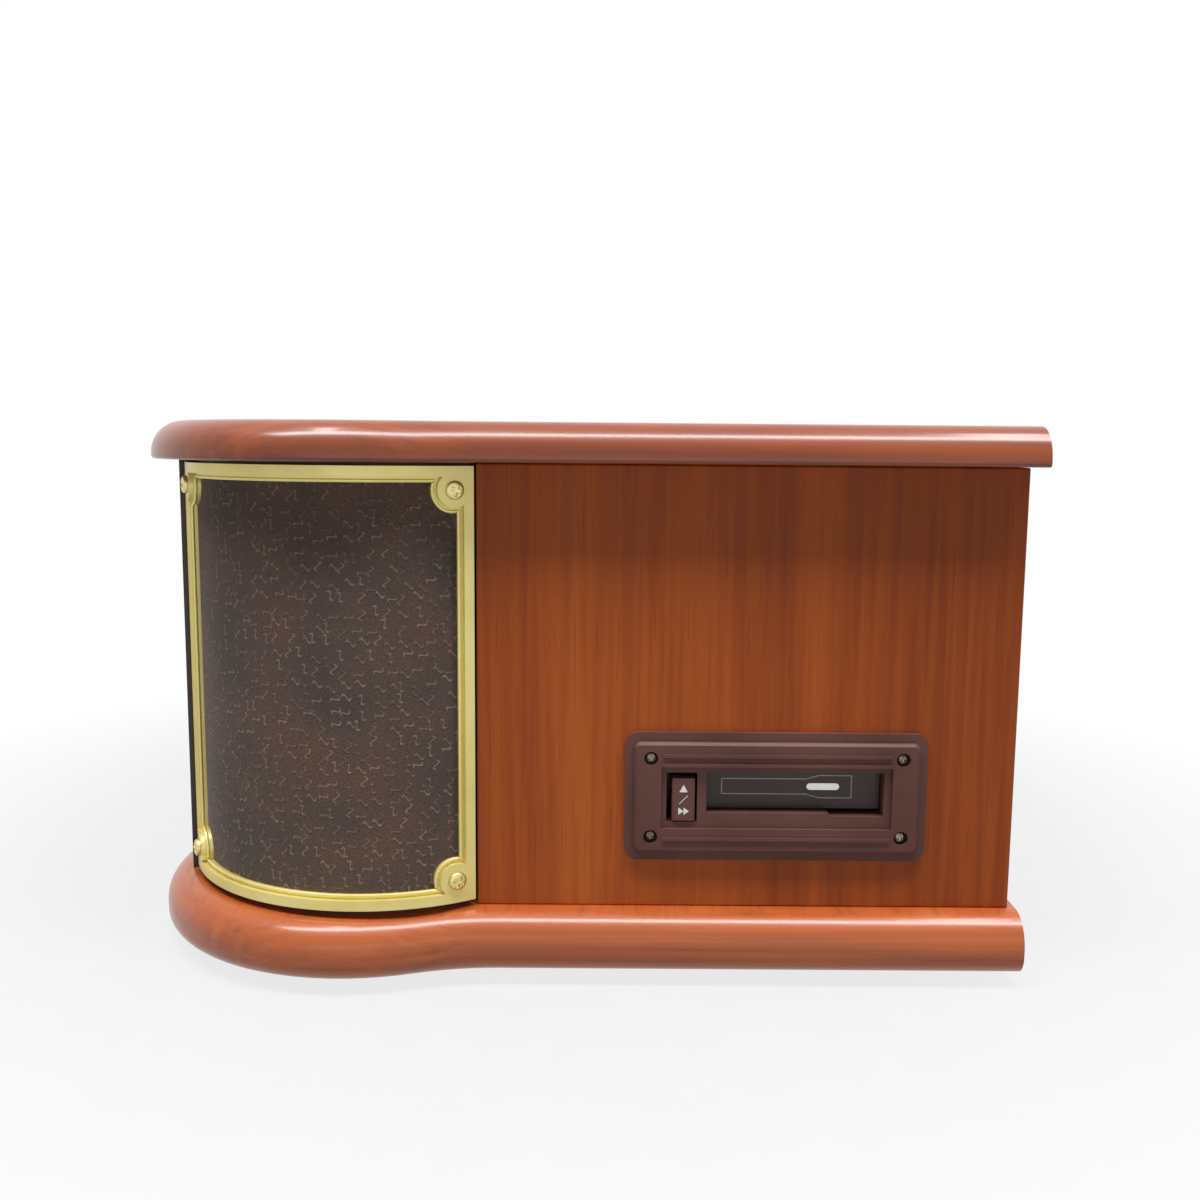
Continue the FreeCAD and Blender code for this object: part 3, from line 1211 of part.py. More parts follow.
def speed_lever():
    """The sliding speed switch: a cap above the deck and a foot below it."""
    x = x_speed
    cap_low = z_deck + BODY_GAP
    cap = box(x - SPEED_CAP_WIDTH / 2, x + SPEED_CAP_WIDTH / 2, y_speed - SPEED_CAP_LENGTH / 2,
              y_speed + SPEED_CAP_LENGTH / 2, cap_low, cap_low + SPEED_CAP_HEIGHT)
    cap = rounded(cap, SPEED_CAP_ROUND, UP)
    foot_high = z_under - BODY_GAP
    stem = box(x - SPEED_STEM_WIDTH / 2, x + SPEED_STEM_WIDTH / 2, y_speed - SPEED_STEM_LENGTH / 2,
               y_speed + SPEED_STEM_LENGTH / 2, foot_high, cap_low + SPEED_CAP_HEIGHT / 2)
    half = SPEED_STEM_WIDTH / 2 + SPEED_FOOT_MARGIN
    foot = box(x - half, x + half, y_speed - SPEED_STEM_LENGTH / 2, y_speed + SPEED_STEM_LENGTH / 2,
               foot_high - SPEED_FOOT_THICKNESS, foot_high)
    return joined(cap, stem, foot)


def record_adapter():
    """The puck for records with a large centre hole, in its seat on the deck."""
    hole = SPINDLE_RADIUS + BODY_GAP
    return turned([
        (hole, 0),
        (ADAPTER_RADIUS, 0),
        (ADAPTER_RADIUS, ADAPTER_HEIGHT - ADAPTER_CHAMFER),
        (ADAPTER_RADIUS - ADAPTER_CHAMFER, ADAPTER_HEIGHT),
        (hole, ADAPTER_HEIGHT),
    ], x_adapter, y_adapter, z_deck - ADAPTER_RECESS + BODY_GAP)


def upright_plate(half_width, half_height, y0, y1, z):
    """A plate that stands across the front, centred on a height."""
    return box(-half_width, half_width, y0, y1, z - half_height, z + half_height)


def dial_bezel():
    """The brass surround of the dial."""
    bezel = upright_plate(DIAL_WIDTH / 2 + DIAL_BORDER, DIAL_HEIGHT / 2 + DIAL_BORDER,
                          y_panel - DIAL_BEZEL_THICKNESS, y_panel, z_dial)
    bezel = rounded(bezel, DIAL_BEZEL_ROUND, BACKWARD)
    rim = [edge for edge in bezel.Edges if edge.BoundBox.YMax < y_panel - DIAL_BEZEL_THICKNESS + TOUCH]
    bezel = bezel.makeChamfer(DIAL_BEZEL_BEVEL, rim)
    return bezel.cut(upright_plate(DIAL_WIDTH / 2, DIAL_HEIGHT / 2, y_panel - DIAL_BEZEL_THICKNESS - OVERRUN,
                                   y_panel + OVERRUN, z_dial))


def dial_lens():
    return upright_plate(DIAL_WIDTH / 2 + LENS_LIP, DIAL_HEIGHT / 2 + LENS_LIP, y_panel,
                         y_panel + LENS_THICKNESS, z_dial)


def cord_posts():
    """The centres of the two posts that the dial cord runs over."""
    z = z_slot - CORD_POST_RADIUS
    return [(-CORD_POST_SPACING / 2, z), (CORD_POST_SPACING / 2, z)]


def dial_plate():
    """The scale plate behind the lens, with the pointer's slot and the posts for the cord."""
    margin = LENS_LIP + DIAL_PLATE_MARGIN
    y1 = y_inner + DIAL_PLATE_THICKNESS
    plate = upright_plate(DIAL_WIDTH / 2 + margin, DIAL_HEIGHT / 2 + margin, y_inner, y1, z_dial)
    reach = POINTER_TRAVEL / 2 + POINTER_STEM_HALF_WIDTH + BODY_GAP
    plate = plate.cut(upright_plate(reach, POINTER_STEM_HEIGHT / 2 + BODY_GAP, y_inner - OVERRUN,
                                    y1 + OVERRUN, z_slot))
    length = y_cord + CORD_POST_REACH - y_inner
    posts = [rod(CORD_POST_RADIUS, length, x, y_inner, z, BACKWARD) for x, z in cord_posts()]
    return joined(plate, *posts)


def dial_pointer():
    """The pointer, with the stem that the cord pulls along the slot."""
    y1 = y_inner - POINTER_STANDOFF
    y0 = y1 - POINTER_THICKNESS
    half = POINTER_WIDTH / 2
    needle = box(-half, half, y0, y1, z_dial - DIAL_HEIGHT / 2 + POINTER_BOTTOM_MARGIN, z_slot)
    y_stem = y_cord - CORD_SIZE / 2 - BODY_GAP
    return joined(needle, upright_plate(POINTER_STEM_HALF_WIDTH, POINTER_STEM_HEIGHT / 2, y0, y_stem, z_slot))


def dial_cord():
    """The cord's loop over the posts, the tuning shaft and the drum."""
    left, right = cord_posts()
    wheels = [
        (left[0], left[1], CORD_POST_RADIUS),
        (0, z_drum, DRUM_RADIUS),
        (KNOB_SPACING, z_knob, TUNING_DRUM_RADIUS),
        (right[0], right[1], CORD_POST_RADIUS),
    ]
    band = loop_band(wheels, CORD_GAP, CORD_SIZE, CORD_SIZE)
    band = band.rotate(ORIGIN, RIGHT, 90)
    return band.translate(FreeCAD.Vector(0, y_cord + CORD_SIZE / 2, 0))


def dial_drum():
    """The drum that the cord turns, on the tuning capacitor's shaft."""
    wheel = rod(DRUM_RADIUS, DRUM_THICKNESS, 0, y_cord - DRUM_THICKNESS / 2, z_drum, BACKWARD)
    length = DRUM_THICKNESS + CAPACITOR_GAP + DRUM_SHAFT_GRIP
    return joined(wheel, rod(DRUM_SHAFT_RADIUS, length, 0, y_cord - DRUM_THICKNESS / 2, z_drum, BACKWARD))


def knob_places():
    """The function knob in the middle, the volume knob on the left and the tuning knob on the right."""
    return (-KNOB_SPACING, 0, KNOB_SPACING)


def control_body(x):
    """A control behind the panel, with its bush through the panel and a bore for its shaft."""
    bush = rod(CONTROL_BUSH_RADIUS, FRONT_THICKNESS, x, y_panel, z_knob, BACKWARD)
    body = rod(CONTROL_BODY_RADIUS, CONTROL_BODY_DEPTH, x, y_inner, z_knob, BACKWARD)
    bore = rod(CONTROL_SHAFT_RADIUS + RUN_GAP, FRONT_THICKNESS + CONTROL_SHAFT_DEPTH + BODY_GAP + OVERRUN,
               x, y_panel - OVERRUN, z_knob, BACKWARD)
    return joined(bush, body).cut(bore)


def tuning_bush():
    """The plain bearing of the tuning shaft, flanged behind the panel."""
    bush = rod(CONTROL_BUSH_RADIUS, FRONT_THICKNESS, KNOB_SPACING, y_panel, z_knob, BACKWARD)
    flange = rod(CONTROL_BUSH_RADIUS + TUNING_FLANGE, TUNING_FLANGE, KNOB_SPACING, y_inner, z_knob, BACKWARD)
    bore = rod(CONTROL_SHAFT_RADIUS + RUN_GAP, FRONT_THICKNESS + TUNING_FLANGE + 2 * OVERRUN, KNOB_SPACING,
               y_panel - OVERRUN, z_knob, BACKWARD)
    return joined(bush, flange).cut(bore)


def tuning_capacitor():
    """The variable capacitor on its stand, with a bore for the drum's shaft."""
    y0 = y_cord + DRUM_THICKNESS / 2 + CAPACITOR_GAP
    y1 = y0 + CAPACITOR_DEPTH
    half = CAPACITOR_WIDTH / 2
    low = z_drum - CAPACITOR_HEIGHT / 2
    can = box(-half, half, y0, y1, low, low + CAPACITOR_HEIGHT)
    stand = box(-CAPACITOR_STAND_WIDTH / 2, CAPACITOR_STAND_WIDTH / 2, y0, y1, z_floor, low)
    return joined(can, stand).cut(rod(DRUM_SHAFT_RADIUS + RUN_GAP, DRUM_SHAFT_GRIP + BODY_GAP + OVERRUN, 0,
                                      y0 - OVERRUN, z_drum, BACKWARD))


def panel_controls():
    volume, function, tuning = knob_places()
    return group([control_body(volume), control_body(function), tuning_bush(), tuning_capacitor()])


def knob(x):
    """A turned knob with a mark line, bored for its shaft."""
    body = turned([
        (0, 0),
        (KNOB_RADIUS + KNOB_SKIRT, 0),
        (KNOB_RADIUS + KNOB_SKIRT, KNOB_SKIRT_LENGTH),
        (KNOB_RADIUS, KNOB_SKIRT_LENGTH),
        (KNOB_RADIUS, KNOB_LENGTH - KNOB_ROUND),
        (KNOB_RADIUS - KNOB_ROUND, KNOB_LENGTH),
        (0, KNOB_LENGTH),
    ], x, y_panel - KNOB_GAP, z_knob, -BACKWARD)
    y_face = y_panel - KNOB_GAP - KNOB_LENGTH
    mark = box(x - KNOB_FLAT_WIDTH / 2, x + KNOB_FLAT_WIDTH / 2, y_face - OVERRUN, y_face + KNOB_FLAT_DEPTH,
               z_knob + KNOB_RADIUS / 3, z_knob + KNOB_RADIUS)
    bore = rod(CONTROL_SHAFT_RADIUS, CONTROL_SHAFT_GRIP + OVERRUN, x, y_panel - KNOB_GAP - CONTROL_SHAFT_GRIP,
               z_knob, BACKWARD)
    return body.cut(mark).cut(bore)


def control_shaft(x):
    """The shaft from a knob into its control."""
    length = CONTROL_SHAFT_GRIP + KNOB_GAP + FRONT_THICKNESS + CONTROL_SHAFT_DEPTH
    return rod(CONTROL_SHAFT_RADIUS, length, x, y_panel - KNOB_GAP - CONTROL_SHAFT_GRIP, z_knob, BACKWARD)


def knob_with_shaft(x):
    return group([knob(x), control_shaft(x)])


def tuning_shaft():
    """The long shaft behind the tuning knob, with the collar that the cord goes round."""
    y0 = y_panel - KNOB_GAP - CONTROL_SHAFT_GRIP
    y_collar = y_cord - TUNING_DRUM_LENGTH / 2
    shaft = rod(CONTROL_SHAFT_RADIUS, y_collar - y0, KNOB_SPACING, y0, z_knob, BACKWARD)
    drum = rod(TUNING_DRUM_RADIUS, TUNING_DRUM_LENGTH, KNOB_SPACING, y_collar, z_knob, BACKWARD)
    return joined(shaft, drum)


def side_block(half_width, half_height, x0, x1, y, z):
    """A block that faces the cabinet's right side, centred on a point of that side."""
    return box(x0, x1, y - half_width, y + half_width, z - half_height, z + half_height)


def collar_bounds():
    """The opening in the right side panel that the bezel's collar fills."""
    y0 = y_key - KEY_WINDOW_WIDTH / 2 - COLLAR_MARGIN
    y1 = y_slot + SLOT_WIDTH / 2 + COLLAR_MARGIN
    z0 = z_mouth - SLOT_HEIGHT / 2 - COLLAR_MARGIN - SLOT_RISE
    return y0, y1, z0, z_mouth + SLOT_HEIGHT / 2 + COLLAR_MARGIN


def bezel_screw_places():
    y_half = BEZEL_SCREW_SPACING_Y / 2
    z_half = BEZEL_SCREW_SPACING_Z / 2
    return [(y_bezel + y, z_bezel + z) for y in (-y_half, y_half) for z in (-z_half, z_half)]


def slot_mouth(x0, x1):
    """The cassette slot, with its lower edge stepped down towards the back."""
    low = z_mouth - SLOT_HEIGHT / 2
    mouth = side_block(SLOT_WIDTH / 2, SLOT_HEIGHT / 2, x0, x1, y_slot, z_mouth)
    step = box(x0, x1, y_slot - SLOT_WIDTH / 2, y_slot + SLOT_STEP_OFFSET, low, low + SLOT_STEP)
    return mouth.cut(step)


def cassette_bezel():
    """The moulded surround: rim, raised plate, stepped recess, ribs and the collar through the panel."""
    rim = side_block(BEZEL_WIDTH / 2, BEZEL_HEIGHT / 2, x_wall, x_wall + BEZEL_RIM, y_bezel, z_bezel)
    rim = rounded(rim, BEZEL_CORNER, RIGHT)
    plate = side_block(BEZEL_PLATE_WIDTH / 2, BEZEL_PLATE_HEIGHT / 2, x_wall, x_plate, y_bezel, z_bezel)
    plate = rounded(plate, BEZEL_CORNER / 2, RIGHT)
    edges = [edge for edge in plate.Edges if edge.BoundBox.XMin > x_plate - TOUCH]
    plate = plate.makeChamfer(BEZEL_PLATE_BEVEL, edges)
    ribs = []
    for rise in (BEZEL_RIB_TOP, BEZEL_RIB_SECOND, -BEZEL_RIB_BOTTOM):
        ribs.append(side_block(BEZEL_RIB_LENGTH / 2, BEZEL_RIB_HEIGHT / 2, x_plate - OVERRUN,
                               x_plate + BEZEL_RIB_PROUD, y_bezel, z_bezel + rise))
    y0, y1, z0, z1 = collar_bounds()
    collar = box(x_collar, x_wall + BEZEL_RIM, y0, y1, z0, z1)
    bezel = joined(rim, plate, collar, *ribs)
    bezel = bezel.cut(side_block(BEZEL_RECESS_WIDTH / 2, BEZEL_RECESS_HEIGHT / 2,
                                 x_plate - BEZEL_RECESS_DEPTH, x_plate + OVERRUN, y_bezel, z_bezel))
    bezel = bezel.cut(slot_mouth(x_collar - OVERRUN, x_plate + OVERRUN))
    bezel = bezel.cut(side_block(KEY_WINDOW_WIDTH / 2, KEY_WINDOW_HEIGHT / 2, x_collar - OVERRUN,
                                 x_plate + OVERRUN, y_key, z_bezel))
    y_pin = y_slot - SLOT_WIDTH / 2 - FLAP_PIN_GRIP
    bezel = bezel.cut(rod(FLAP_PIN_RADIUS + RUN_GAP, SLOT_WIDTH + 2 * FLAP_PIN_GRIP,
                          x_flap - FLAP_THICKNESS / 2, y_pin, z_flap_axis, BACKWARD))
    seat = BEZEL_SCREW_HEAD_RADIUS + BEZEL_SCREW_BORE_GAP
    for y, z in bezel_screw_places():
        bezel = bezel.cut(rod(seat, BEZEL_SCREW_SINK + OVERRUN, x_plate - BEZEL_SCREW_SINK, y, z, RIGHT))
        bezel = bezel.cut(rod(BEZEL_SCREW_RADIUS, BEZEL_PLATE_PROUD, x_wall, y, z, RIGHT))
    return bezel


def bezel_screws():
    """Four screws in the bezel's counterbores, driven into the side panel."""
    start = BEZEL_PLATE_PROUD - BEZEL_SCREW_SINK
    points = [
        (0, 0),
        (BEZEL_SCREW_RADIUS, 0),
        (BEZEL_SCREW_RADIUS, start),
        (BEZEL_SCREW_HEAD_RADIUS, start),
        (BEZEL_SCREW_HEAD_RADIUS, start + BEZEL_SCREW_HEAD_HEIGHT / 2),
        (BEZEL_SCREW_HEAD_RADIUS / 2, start + BEZEL_SCREW_HEAD_HEIGHT),
        (0, start + BEZEL_SCREW_HEAD_HEIGHT),
    ]
    return group([turned(points, x_wall, y, z, RIGHT) for y, z in bezel_screw_places()])


def cassette_flap():
    """The dust flap, hung from a pin at each end of its upper edge."""
    high = z_mouth + SLOT_HEIGHT / 2 - FLAP_TOP_GAP
    low = z_mouth - SLOT_HEIGHT / 2 + SLOT_STEP + FLAP_BOTTOM_GAP
    half = SLOT_WIDTH / 2 - FLAP_SIDE_GAP
    plate = box(x_flap - FLAP_THICKNESS, x_flap, y_slot - half, y_slot + half, low, high)
    reach = half + FLAP_SIDE_GAP + FLAP_PIN_GRIP - BODY_GAP
    pin = rod(FLAP_PIN_RADIUS, 2 * reach, x_flap - FLAP_THICKNESS / 2, y_slot - reach, z_flap_axis, BACKWARD)
    return joined(plate, pin)


def eject_key():
    """The key in its window, with the stem that pushes the eject lever."""
    x1 = x_plate - KEY_SINK
    y = y_key + KEY_SHIFT
    z = z_bezel - KEY_DROP
    cap = side_block(KEY_WIDTH / 2, KEY_HEIGHT / 2, x1 - KEY_LENGTH, x1, y, z)
    cap = cap.makeFillet(KEY_ROUND, [edge for edge in cap.Edges if edge.BoundBox.XMin > x1 - TOUCH])
    stem = side_block(KEY_STEM_SIZE / 2, KEY_STEM_SIZE / 2, x_collar - KEY_STEM_LENGTH,
                      x1 - KEY_LENGTH / 2, y, z)
    return joined(cap, stem)


def chassis_legs(y0, y1):
    """The legs that stand the chassis on the plinth."""
    legs = []
    for x in (x_collar - CHASSIS_DEPTH, x_collar - CHASSIS_LEG):
        for y in (y0, y1 - CHASSIS_LEG):
            legs.append(box(x, x + CHASSIS_LEG, y, y + CHASSIS_LEG, z_floor, z_chassis + CHASSIS_WALL))
    return legs


def reel_places():
    return [(x_reels + REEL_SPACING * step, y_reels) for step in (-1 / 2, 1 / 2)]


def flywheel_place():
    return x_reels, y_slot + SLOT_WIDTH / 2 + BAY_SIDE_MARGIN - FLYWHEEL_RADIUS - FLYWHEEL_WALL_GAP


def cassette_chassis():
    """The sheet-metal box behind the bezel: the cassette bay above, the drive below, and four legs."""
    half = SLOT_WIDTH / 2 + BAY_SIDE_MARGIN
    y0 = y_slot - half - CHASSIS_WALL
    y1 = y_slot + half + CHASSIS_WALL
    x0 = x_collar - CHASSIS_DEPTH
    body = box(x0, x_collar, y0, y1, z_chassis, z_bay_top + CHASSIS_WALL)
    bay = box(x_collar - BAY_DEPTH, x_collar + OVERRUN, y_slot - half, y_slot + half, z_bay_floor, z_bay_top)
    under = box(x0 + CHASSIS_WALL, x_collar - CHASSIS_WALL, y_slot - half, y_slot + half,
                z_chassis + CHASSIS_WALL, z_bay_floor - CHASSIS_WALL)
    y_plate = y_key - KEY_WINDOW_WIDTH / 2 - KEY_PLATE_MARGIN
    plate = box(x_collar - CHASSIS_WALL, x_collar, y_plate, y0 + CHASSIS_WALL, z_chassis,
                z_bay_top + CHASSIS_WALL)
    stem = KEY_STEM_SIZE / 2 + BODY_GAP
    plate = plate.cut(side_block(stem, stem, x_collar - CHASSIS_WALL - OVERRUN, x_collar + OVERRUN,
                                 y_key + KEY_SHIFT, z_bezel - KEY_DROP))
    chassis = joined(body.cut(bay).cut(under), plate, *chassis_legs(y0, y1))
    floor_hole = REEL_HEAD_RADIUS + REEL_HOLE_GAP
    for x, y in reel_places():
        chassis = chassis.cut(rod(floor_hole, CHASSIS_WALL + 2 * OVERRUN, x, y,
                                  z_bay_floor - CHASSIS_WALL - OVERRUN))
        chassis = chassis.cut(rod(REEL_SHAFT_RADIUS + RUN_GAP, CHASSIS_WALL + 2 * OVERRUN, x, y,
                                  z_chassis - OVERRUN))
    x, y = flywheel_place()
    return chassis.cut(rod(CAPSTAN_RADIUS + RUN_GAP, z_bay_floor + OVERRUN - z_chassis + OVERRUN, x, y,
                           z_chassis - OVERRUN))


def reel_spindle(x, y):
    """A reel spindle: its head flush in the bay's floor, its table below, and its shaft."""
    bottom = z_chassis
    top = z_bay_floor - BODY_GAP - bottom
    head = top - REEL_HEAD_HEIGHT
    table = head - REEL_TABLE_DROP + REEL_HEAD_HEIGHT
    return turned([
        (0, 0),
        (REEL_SHAFT_RADIUS, 0),
        (REEL_SHAFT_RADIUS, table),
        (REEL_TABLE_RADIUS, table),
        (REEL_TABLE_RADIUS, table + REEL_TABLE_HEIGHT),
        (REEL_HEAD_RADIUS, table + REEL_TABLE_HEIGHT),
        (REEL_HEAD_RADIUS, top),
        (0, top),
    ], x, y, bottom)


def supply_spindle():
    return reel_spindle(*reel_places()[0])


def takeup_spindle():
    return reel_spindle(*reel_places()[1])


def capstan_flywheel():
    """The flywheel with the capstan shaft through it."""
    x, y = flywheel_place()
    low = CHASSIS_WALL + FLYWHEEL_RISE
    top = z_bay_floor - BODY_GAP - z_chassis
    return turned([
        (0, 0),
        (CAPSTAN_RADIUS, 0),
        (CAPSTAN_RADIUS, low),
        (FLYWHEEL_RADIUS, low),
        (FLYWHEEL_RADIUS, low + FLYWHEEL_HEIGHT),
        (CAPSTAN_RADIUS, low + FLYWHEEL_HEIGHT),
        (CAPSTAN_RADIUS, top),
        (0, top),
    ], x, y, z_chassis)


def power_transformer():
    """The laminated core on its feet, with the coil through it."""
    half = TRANSFORMER_WIDTH / 2
    deep = TRANSFORMER_DEPTH / 2
    core = box(x_transformer - half, x_transformer + half, y_transformer - deep, y_transformer + deep,
               z_floor, z_floor + TRANSFORMER_HEIGHT)
    foot = box(x_transformer - half - TRANSFORMER_FOOT, x_transformer + half + TRANSFORMER_FOOT,
               y_transformer - deep, y_transformer + deep, z_floor, z_floor + TRANSFORMER_FOOT_THICKNESS)
    z = z_floor + TRANSFORMER_HEIGHT / 2
    coil = box(x_transformer - TRANSFORMER_COIL_WIDTH / 2, x_transformer + TRANSFORMER_COIL_WIDTH / 2,
               y_transformer - deep - TRANSFORMER_COIL_PROUD, y_transformer + deep + TRANSFORMER_COIL_PROUD,
               z - TRANSFORMER_COIL_HEIGHT / 2, z + TRANSFORMER_COIL_HEIGHT / 2)
    return joined(core, foot, coil)


def heat_sink(x, y, z):
    """A finned heat sink that stands on the board."""
    half = HEAT_SINK_LENGTH / 2
    pieces = [box(x - half, x + half, y, y + HEAT_SINK_BASE, z, z + HEAT_SINK_HEIGHT)]
    pitch = (HEAT_SINK_LENGTH - HEAT_SINK_FIN) / (HEAT_SINK_FINS - 1)
    for step in range(HEAT_SINK_FINS):
        x0 = x - half + pitch * step
        pieces.append(box(x0, x0 + HEAT_SINK_FIN, y, y + HEAT_SINK_DEPTH, z, z + HEAT_SINK_HEIGHT))
    return joined(*pieces)


def main_board():
    """The circuit board on its standoffs, with a heat sink and two reservoir capacitors."""
    half = MAIN_BOARD_WIDTH / 2
    deep = MAIN_BOARD_DEPTH / 2
    low = z_floor + STANDOFF_HEIGHT
    high = low + MAIN_BOARD_THICKNESS
    board = box(x_board - half, x_board + half, y_board - deep, y_board + deep, low, high)
    pieces = [board, heat_sink(x_board, y_board + deep / 2, high)]
    for x in (-half + STANDOFF_INSET, half - STANDOFF_INSET):
        for y in (-deep + STANDOFF_INSET, deep - STANDOFF_INSET):
            pieces.append(rod(STANDOFF_RADIUS, STANDOFF_HEIGHT, x_board + x, y_board + y, z_floor))
    for side in (-1, 1):
        pieces.append(rod(CAN_RADIUS, CAN_HEIGHT, x_board + side * CAN_PITCH / 2, y_board - deep / 2, high))
    return group(pieces)


def inlet_body():
    """The body of the mains inlet, which fills its opening in the back panel."""
    half = INLET_WIDTH / 2 - INLET_BODY_MARGIN
    half_height = INLET_HEIGHT / 2 - INLET_BODY_MARGIN / 2
    return box(x_inlet - half, x_inlet + half, y_wall - INLET_DEPTH, y_wall + INLET_FLANGE,
               z_inlet - half_height, z_inlet + half_height)


def mains_inlet():
    """The two-pin mains inlet with its flange on the back panel."""
    y1 = y_wall + INLET_FLANGE
    flange = box(x_inlet - INLET_WIDTH / 2, x_inlet + INLET_WIDTH / 2, y_wall, y1, z_inlet - INLET_HEIGHT / 2,
                 z_inlet + INLET_HEIGHT / 2)
    recess = box(x_inlet - INLET_RECESS_WIDTH / 2, x_inlet + INLET_RECESS_WIDTH / 2, y1 - INLET_RECESS_DEPTH,
                 y1 + OVERRUN, z_inlet - INLET_RECESS_HEIGHT / 2, z_inlet + INLET_RECESS_HEIGHT / 2)
    recess = rounded(recess, INLET_RECESS_HEIGHT / 2 - TOUCH, BACKWARD)
    socket = joined(flange, inlet_body()).cut(recess)
    for side in (-1, 1):
        pin = rod(INLET_PIN_RADIUS, INLET_PIN_LENGTH + OVERRUN, x_inlet + side * INLET_PIN_SPACING / 2,
                  y1 - INLET_RECESS_DEPTH - OVERRUN, z_inlet, BACKWARD)
        socket = joined(socket, pin)
    return socket


def pieces():
    """Every node of the record player by name."""
    volume, function, tuning = knob_places()
    column = corner_column()
    frame = grille_frame()
    cloth = grille_cloth()
    return {
        "base_plinth": base_plinth(),
        "left_side_panel": mirrored(side_panel()),
        "right_side_panel": right_side_panel(),
        "front_panel": front_panel(),
        "back_panel": back_panel(),
        "left_corner_column": mirrored(column),
        "right_corner_column": column,
        "lid_board": lid_board(),
        "motor_board": motor_board(),
        "deck_rails": deck_rails(),
        "rubber_feet": rubber_feet(),
        "hinge_cabinet_leaves": hinge_cabinet_leaves(),
        "hinge_lid_leaves": hinge_lid_leaves(),
        "hinge_pins": hinge_pins(),
        "platter": platter(),
        "platter_mat": platter_mat(),
        "spindle": spindle(),
        "spindle_bush": spindle_bush(),
        "drive_motor": drive_motor(),
        "motor_pulley": motor_pulley(),
        "drive_belt": drive_belt(),
        "tonearm_base": tonearm_base(),
        "tonearm_yoke": tonearm_yoke(),
        "tonearm_tube": tonearm_tube(),
        "headshell": headshell(),
        "counterweight": counterweight(),
        "arm_rest": arm_rest(),
        "cue_lever": cue_lever(),
        "lift_bar": lift_bar(),
        "speed_lever": speed_lever(),
        "record_adapter": record_adapter(),
        "dial_bezel": dial_bezel(),
        "dial_lens": dial_lens(),
        "dial_plate": dial_plate(),
        "dial_pointer": dial_pointer(),
        "dial_cord": dial_cord(),
        "dial_drum": dial_drum(),
        "panel_controls": panel_controls(),
        "volume_knob": knob_with_shaft(volume),
        "function_knob": knob_with_shaft(function),
        "tuning_knob": knob(tuning),
        "tuning_shaft": tuning_shaft(),
        "left_grille_frame": mirrored(frame),
        "right_grille_frame": frame,
        "left_grille_cloth": mirrored(cloth),
        "right_grille_cloth": cloth,
        "grille_screws": grille_screws(),
        "speaker_boards": speaker_boards(),
        "speaker_drivers": speaker_drivers(),
        "cassette_bezel": cassette_bezel(),
        "bezel_screws": bezel_screws(),
        "cassette_flap": cassette_flap(),
        "eject_key": eject_key(),
        "cassette_chassis": cassette_chassis(),
        "supply_spindle": supply_spindle(),
        "takeup_spindle": takeup_spindle(),
        "capstan_flywheel": capstan_flywheel(),
        "power_transformer": power_transformer(),
        "main_board": main_board(),
        "mains_inlet": mains_inlet(),
    }


os.makedirs("parts", exist_ok=True)
for name, shape in pieces().items():
    shape.exportStep("parts/" + name + ".step")
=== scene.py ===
"""Looks of a wooden record player: materials, small visible pieces, floor, light and camera.

Lengths are metres, in the part's own frame: X to the user's right, Y to the back and Z up.
"""

import json
import math

import bmesh
import bpy
from mathutils import Matrix, Vector

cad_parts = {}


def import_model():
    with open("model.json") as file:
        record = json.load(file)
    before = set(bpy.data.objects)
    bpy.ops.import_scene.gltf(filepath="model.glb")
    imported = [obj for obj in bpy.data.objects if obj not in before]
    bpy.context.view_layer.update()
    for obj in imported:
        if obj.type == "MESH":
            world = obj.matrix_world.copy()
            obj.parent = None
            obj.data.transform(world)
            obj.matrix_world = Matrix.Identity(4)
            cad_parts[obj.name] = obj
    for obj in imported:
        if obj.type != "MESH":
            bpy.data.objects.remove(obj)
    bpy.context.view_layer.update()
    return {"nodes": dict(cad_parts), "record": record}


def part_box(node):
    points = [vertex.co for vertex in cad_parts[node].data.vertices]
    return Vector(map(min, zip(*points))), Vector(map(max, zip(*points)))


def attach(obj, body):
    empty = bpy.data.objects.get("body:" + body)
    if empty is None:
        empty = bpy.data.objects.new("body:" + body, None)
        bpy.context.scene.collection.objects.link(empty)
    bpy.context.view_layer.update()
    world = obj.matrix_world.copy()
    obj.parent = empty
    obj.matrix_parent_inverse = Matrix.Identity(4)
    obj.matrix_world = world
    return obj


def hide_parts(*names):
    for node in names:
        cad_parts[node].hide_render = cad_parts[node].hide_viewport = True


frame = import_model()
MM = 0.001
RIGHT = Vector((1, 0, 0))
FRONT = Vector((0, -1, 0))
BACK = Vector((0, 1, 0))
UP = Vector((0, 0, 1))

# Camera
CAMERA_PLACE = Vector((0.656, 0.0089, 0.2049))
CAMERA_AIM = Vector((0.2145, 0.0107, 0.1477))
CAMERA_ROLL = math.radians(0.5)
CAMERA_LENS = 35.8
CAMERA_SENSOR = 36.0

# Corner speakers
FRAME_RADIUS = 80.0 * MM
FRAME_START = math.radians(56.0)
FRAME_END = math.radians(160.0)
FRAME_BORDER = 5.4 * MM
FRAME_LEDGE = 2.2 * MM
EAR_RADIUS = 8.0 * MM
EAR_SIDE_INSET = 7.8 * MM
EAR_END_INSET = 8.8 * MM
BEAD_RADIUS = 0.7 * MM
CLOTH_RADIUS = 75.8 * MM
CLOTH_MARGIN = 1.2 * MM
CLOTH_THICKNESS = 0.5 * MM
GRILLE_SCREW_RADIUS = 3.5 * MM
GRILLE_SCREW_HEIGHT = 2.2 * MM
frame_low, frame_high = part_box("right_grille_frame")
column = Vector((frame_high.x - FRAME_RADIUS, frame_high.y - FRAME_RADIUS * math.cos(FRAME_START), 0))

